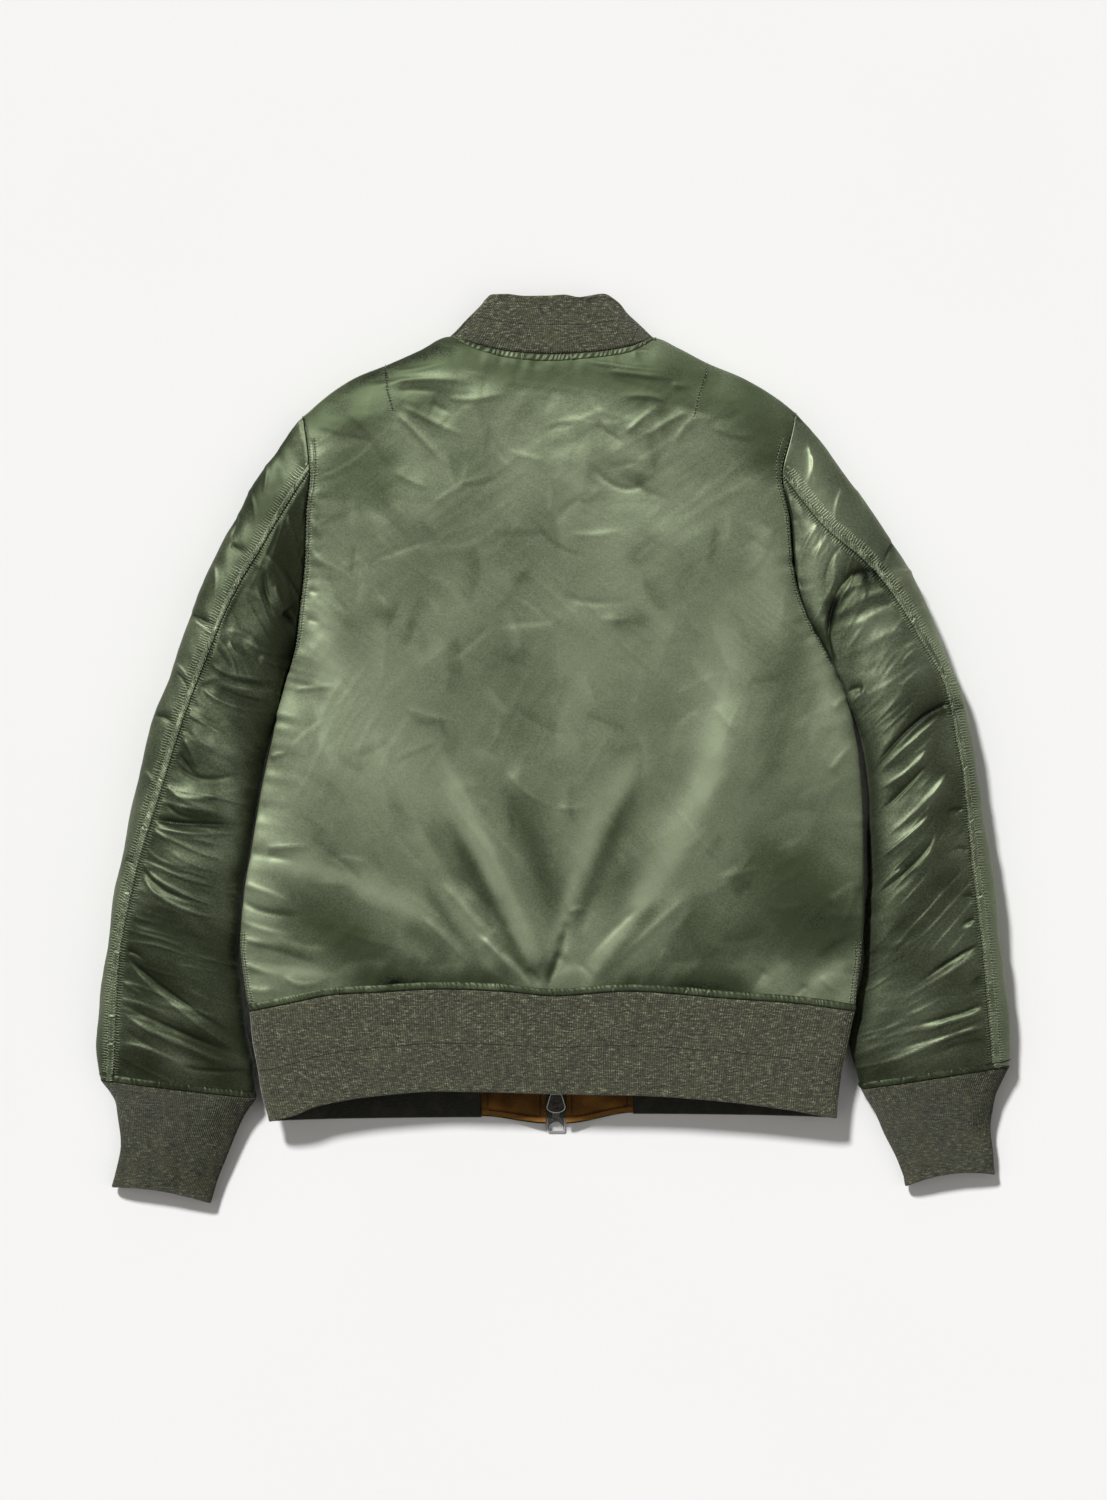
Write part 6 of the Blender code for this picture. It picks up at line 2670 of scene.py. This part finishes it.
    def collar(self) -> None:
        """Builds the collar, all round."""
        low, top = self.torso.collar_lines(120, 200)
        known = np.arange(len(low), dtype=float)
        places = even_steps(low, known, self.across(low))
        low, top = (
            np.stack([np.interp(places, known, line[:, k]) for k in range(3)], axis=1)[::-1]
            for line in (low, top)
        )
        skin = mix(low, top, np.linspace(0, 1, self.collar_rows)[:, None, None])
        self.knit("collar", self.finishes.rib, inset_seams(skin, "t"), 4)

    def hem_back(self) -> None:
        """Builds the hem behind."""
        known = np.linspace(0, 1, 2000)
        top = self.torso.back(LAST_ROW, known)[0]
        top = self.torso.back(LAST_ROW, even_steps(top, known, self.across(top)))[0]
        skin = self.torso.hem(top, BACK_HEM_EDGE, self.hem_rows, in_front=False)
        self.knit("hem_back", self.finishes.rib, inset_seams(skin, "t"), 5)

    def hem_front(self, side: Side) -> None:
        """Builds the hem in front, from the side to the plain end at the zip.

        Args:
            side: which one.
        """
        known = np.linspace(0, side.tab_share, 1200)
        top = self.torso.front(side, LAST_ROW, known)[0]
        top = self.torso.front(side, LAST_ROW, even_steps(top, known, self.across(top)))[0]
        skin = side.facing_up(self.torso.hem(top, FRONT_HEM_EDGE, self.front_hem_rows, in_front=True))
        cut = inset_seams(skin, "tlr")
        self.knit(f"hem_front_{side.name}", self.finishes.shade_rib, cut, 6, depth=0.1)

    def cuff(self, arm: Arm) -> None:
        """Builds a cuff, all round.

        Args:
            arm: its arm.
        """
        grid = arm.cuff_grid(self.cuff_rows, self.cuff_search)
        known = np.arange(grid.shape[1], dtype=float)
        places = even_steps(grid[0], known, self.across(grid[0]))
        whole = np.minimum(places.astype(int), len(known) - 2)
        skin = mix(grid[:, whole], grid[:, whole + 1], (places - whole)[None, :, None])
        if arm.side.sign > 0:
            skin = skin[:, ::-1]
        cut = skin.copy()
        cut[0] = mix(skin[0], skin[1], 0.03)
        seed = 7 + arm.side.sign
        self.knit(f"cuff_{arm.side.name}", self.finishes.cuff, cut, seed, depth=0.7, closed=True)

    def build(self) -> None:
        """Builds and dresses every rib."""
        self.collar()
        self.hem_back()
        for side in (LEFT, RIGHT):
            self.hem_front(side)
        for arm in self.arms:
            self.cuff(arm)


@dataclass(frozen=True)
class Tabs:
    """The plain ends of the hem at the zip: brown cloth inside, shell cloth outside."""

    torso: Torso
    finishes: Finishes
    rows: int = 48
    columns: int = 72
    thickness: float = 2.75
    edge_stitches: float = 5.5
    outer_stitches: float = 6.5
    inner_stitches: float = 5.0
    top_y: float = -230.0
    zip_row_y: tuple[float, float] = (-318.0, -317.0)
    rib_row_y: float = -312.0
    hem_allowance: float = 1.3
    stitching: Stitching = Stitching(length=2.2, gap=0.8)

    def edge_y(self, x: Array) -> Array:
        """The lower edge of the hem in front."""
        return smooth(x, FRONT_HEM_EDGE["x"], FRONT_HEM_EDGE["y"])

    def stitch_lines(self, side: Side) -> list[Array]:
        """Plan lines of the stitches: along the lower edge, by the zip, and beside the rib.

        Args:
            side: which end of the hem.

        Returns:
            The three lines.
        """
        by_rib = side.tab_x - side.sign * self.outer_stitches
        by_zip = side.zip_x + side.sign * self.inner_stitches
        across = np.linspace(by_rib, by_zip, 14)
        zip_y = self.zip_row_y[0 if side.sign < 0 else 1]
        return [
            np.stack([across, self.edge_y(across) + self.edge_stitches], axis=1),
            np.array([[by_zip, zip_y], [by_zip, self.top_y]]),
            np.array([[by_rib, self.rib_row_y], [by_rib, self.top_y]]),
        ]

    def tab(self, side: Side) -> None:
        """Builds one end.

        Args:
            side: which one.
        """
        across = np.linspace(side.tab_share, 1, self.columns + 1)
        top = self.torso.front(side, LAST_ROW, across)[0]
        skin = side.facing_up(self.torso.hem(top, FRONT_HEM_EDGE, self.rows + 1, in_front=True))
        skin = inset_seams(skin, "tl" if side.sign > 0 else "tr")
        x, y = skin[..., 0], skin[..., 1]
        bumps = 0.5 * waves(x, y, 24.0, 31 + side.sign) + 0.25 * waves(x, y, 9.0, 33 + side.sign)
        inside = (skin + np.stack([0 * x, 0 * x, self.thickness + bumps], axis=2))[:, ::-1]
        inside[-1, :, 1] += self.hem_allowance
        x, y = inside[..., 0], inside[..., 1]
        away = y - self.edge_y(x)
        lines = self.stitch_lines(side)
        inside[..., 2] -= 0.35 * bell(away - self.edge_stitches, 1.6)
        values = seam_values(lines, x, y, 2.5)
        # Painted light on the lower rim, painted shadow of the hem further up, and darker along the row of
        # stitches; the waves vary at random.
        values["lit"] = (
            0.55 * bell(away - 2.0, 2.4) + 0.10 * waves(x, y, 22.0, 35 + side.sign)
            - 0.15 * ease((away - 6) / 9) - 0.25 * bell(away - 6.2, 0.9)
        )
        lining = shell(f"tab_facing_{side.name}", inside, 1.0, values)
        dress(lining, self.finishes.facing, Slot.FACING, f"hem_tab_{side.name}")
        cover = shell(f"tab_shell_{side.name}", skin + [0, 0, 0.2], 1.2)
        dress(cover, self.finishes.front, Slot.NYLON)
        rows = [drape_line(inside, line) for line in lines]
        stitches = self.stitching.make(f"tab_stitches_{side.name}", rows)
        dress(stitches, self.finishes.brown_thread, Slot.FACING)

    def build(self) -> None:
        """Builds and dresses both ends."""
        for side in (LEFT, RIGHT):
            self.tab(side)


@dataclass(frozen=True)
class Zip:
    """The closed zip: two tapes, its teeth, and better metal on the sliders and pulls."""

    torso: Torso
    finishes: Finishes
    chain_half: float = 3.0
    tooth_pitch: float = 1.55
    tooth_size: tuple[float, float, float] = (2.0, 1.1, 2.4)
    tooth_middle: float = 0.9
    ends: tuple[float, float] = (263.4, -311.0)
    tape_ends: tuple[float, float] = (274.0, -320.0)
    tape_wall: float = 0.9

    def middle(self) -> tuple[Array, Array]:
        """Places and heights of the middle of the cloth along the zip.

        Returns:
            Y, from the hem to the neck, and the height at each.
        """
        edge = self.torso.front(LEFT, np.linspace(0, LAST_ROW, 200), 1.0)[:, 0]
        top = self.torso.front(LEFT, LAST_ROW, np.array([0.99, 1.0]))[0]
        hem = self.torso.hem(top, FRONT_HEM_EDGE, 30, in_front=True)[:, 1]
        line = np.concatenate([edge, hem[1:]])[::-1]
        return line[:, 1], line[:, 2] + 1.5

    def tapes(self) -> None:
        """Builds two woven tapes beside the teeth, each with a bead along it."""
        y = np.linspace(*self.tape_ends, 321)
        z = np.interp(y, *self.middle())
        inner, outer = self.chain_half + SEAM_GAP, OPENING_HALF - SEAM_GAP
        for side in (LEFT, RIGHT):
            x = np.sort(ZIP_X + side.sign * np.linspace(inner, outer, 9))
            bead = 0.35 * bell(np.abs(x - ZIP_X) - 3.9, 0.6)
            grid = grid_from(x[None], y[:, None], z[:, None] + 0.45 + bead)
            strip = shell(f"tape_{side.name}", grid, self.tape_wall)
            dress(strip, self.finishes.tape, Slot.TAPE, f"zip_tape_{side.name}")
            LOG.info("%s: %.1f x %.0f mm", strip.name, outer - inner, y[0] - y[-1])

    def teeth(self) -> None:
        """Builds the teeth: one bevelled block each, from the left and the right by turns."""
        count = int((self.ends[0] - self.ends[1] - 2) / self.tooth_pitch)
        y = self.ends[0] - 1 - self.tooth_pitch * np.arange(count)
        z = np.interp(y, *self.middle())
        side = np.where(np.arange(count) % 2, 1.0, -1.0)
        wide, long, tall = self.tooth_size
        plan = np.array([
            (-1, -0.7), (-0.6, -1), (0.7, -0.9), (1, -0.4), (1, 0.4), (0.7, 0.9), (-0.6, 1), (-1, 0.7),
        ])
        levels = [(-1.0, 0.75), (-0.7, 1.0), (0.7, 1.0), (1.0, 0.75)]
        block = np.array([
            [(px * s * wide, py * s * long / 2, h * tall / 2) for px, py in plan] for h, s in levels
        ])
        out, down, up = (block[None, ..., axis] for axis in range(3))
        side, y, z = (values[:, None, None] for values in (side, y, z))
        points = grid_from(ZIP_X + side * (self.tooth_middle - out), y + down, z + up)
        points[side[:, 0, 0] < 0] = points[side[:, 0, 0] < 0][:, :, ::-1]
        index = np.arange(block[..., 0].size).reshape(block.shape[:2])
        looped = np.concatenate([index, index[:, :1]], axis=1)
        faces = quads(looped, turned=True) + [index[0].tolist(), index[-1, ::-1].tolist()]
        shape = [[corner + n * index.size for corner in face] for n in range(count) for face in faces]
        thing = object_from("teeth", points.reshape(-1, 3), shape)
        dress(thing, self.finishes.teeth, Slot.TEETH, "zip_chain")
        LOG.info("%s: %d", thing.name, count)

    def metal(self, nodes: dict[str, Thing]) -> None:
        """Paints the sliders and pulls."""
        for end in ("lower", "upper"):
            for part, look in (("slider", self.finishes.slider), ("pull", self.finishes.pull)):
                for slot in nodes[f"zip_{part}_{end}"].material_slots:
                    slot.material = look

    def build(self, nodes: dict[str, Thing]) -> None:
        """Builds and dresses the zip.

        Args:
            nodes: the frame's objects by name.
        """
        self.tapes()
        self.teeth()
        self.metal(nodes)


@dataclass(frozen=True)
class Sun:
    """A distant light: where it shines from, its strength, its angle in degrees and its colour."""

    from_x: float
    from_y: float
    from_z: float
    strength: float
    angle: float = 60.0
    colour: Colour = (1, 0.97, 0.93)


@dataclass(frozen=True)
class Studio:
    """A pale floor, a soft key light from the upper left, an even fill, and the camera overhead."""

    floor_half: float = 4.0
    floor_z: float = -0.2
    floor_low: Colour = (0.86, 0.86, 0.8557)
    floor_high: Colour = (0.87, 0.87, 0.86)
    suns: tuple[Sun, ...] = (
        Sun(-0.40, 0.66, 0.64, 3.85, 8.0, (1, 1, 1)),
        Sun(-0.70, 0.05, 0.72, 0.32),
        Sun(0.70, -0.25, 0.70, 0.42),
    )
    world: float = 0.12
    camera_at: tuple[float, float, float] = (-0.0004, -0.0009, 3.5)
    lens: float = 96.6

    def floor(self) -> None:
        """Builds the floor."""
        half = self.floor_half / MM
        turns = ((-1, -1), (1, -1), (1, 1), (-1, 1))
        corners = np.array([(x * half, y * half, self.floor_z) for x, y in turns])
        thing = object_from("floor", corners, [(0, 1, 2, 3)])
        material, graph, shader = new_material("pale_floor")
        colour = graph.blend(graph.between(graph.noise(3.0), 0.2, 0.8), self.floor_low, self.floor_high)
        graph.feed(shader, {"Base Color": colour, "Roughness": 0.9, "Specular IOR Level": 0.1})
        thing.data.materials.append(material)

    def lights(self) -> None:
        """Hangs the lights and sets the sky."""
        for number, sun in enumerate(self.suns):
            light = bpy.data.objects.new(f"light_{number}", bpy.data.lights.new(f"light_{number}", "SUN"))
            light.data.energy = sun.strength
            light.data.color = sun.colour
            light.data.angle = math.radians(sun.angle)
            light.rotation_mode = "QUATERNION"
            towards = Vector((sun.from_x, sun.from_y, sun.from_z))
            light.rotation_quaternion = towards.to_track_quat("Z", "Y")
            bpy.context.scene.collection.objects.link(light)
        world = bpy.data.worlds.new("studio")
        world.use_nodes = True
        sky = world.node_tree.nodes["Background"]
        Graph(world.node_tree).feed(sky, {"Color": (1, 0.985, 0.96), "Strength": self.world})
        bpy.context.scene.world = world
        bpy.context.scene.view_settings.view_transform = "Standard"

    def camera(self) -> None:
        """Sets the camera, looking straight down."""
        data = bpy.data.cameras.new("camera")
        data.sensor_fit = "VERTICAL"
        data.sensor_height = 36.0
        data.lens = self.lens
        data.clip_end = 50.0
        thing = bpy.data.objects.new("camera", data)
        thing.location = self.camera_at
        bpy.context.scene.collection.objects.link(thing)
        bpy.context.scene.camera = thing

    def build(self) -> None:
        """Sets up the studio."""
        self.floor()
        self.lights()
        self.camera()


def main() -> None:
    """Builds the looks of the jacket round its frame."""
    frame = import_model()
    finishes = Finishes()
    torso = Torso()
    left = Arm(torso, LEFT, LEFT_SLEEVE, LEFT_SEAM, LEFT_CUFF)
    right = Arm(torso, RIGHT, RIGHT_SLEEVE, RIGHT_SEAM, RIGHT_CUFF)
    Body(torso, finishes).build()
    Sleeve(left, finishes, LEFT_SLEEVE_CREASES, LEFT_SHEEN_AND_SHADE, LEFT_SLANTS).build()
    Sleeve(
        right, finishes, RIGHT_SLEEVE_CREASES, RIGHT_SHEEN_AND_SHADE, RIGHT_SLANTS,
        gather=1.1, bulge=6.5, inner_tone=0.18, outer_tone=0.40,
    ).build()
    Ribs(torso, (left, right), finishes).build()
    Tabs(torso, finishes).build()
    Zip(torso, finishes).build(frame["nodes"])
    Studio().build()
    for thing in bpy.data.objects:
        if thing.type == "MESH":
            LOG.info("%s: %d faces", thing.name, len(thing.data.polygons))
    bpy.context.view_layer.update()


if __name__ == "__main__":
    logging.basicConfig(level=logging.INFO, format="%(message)s")
    main()
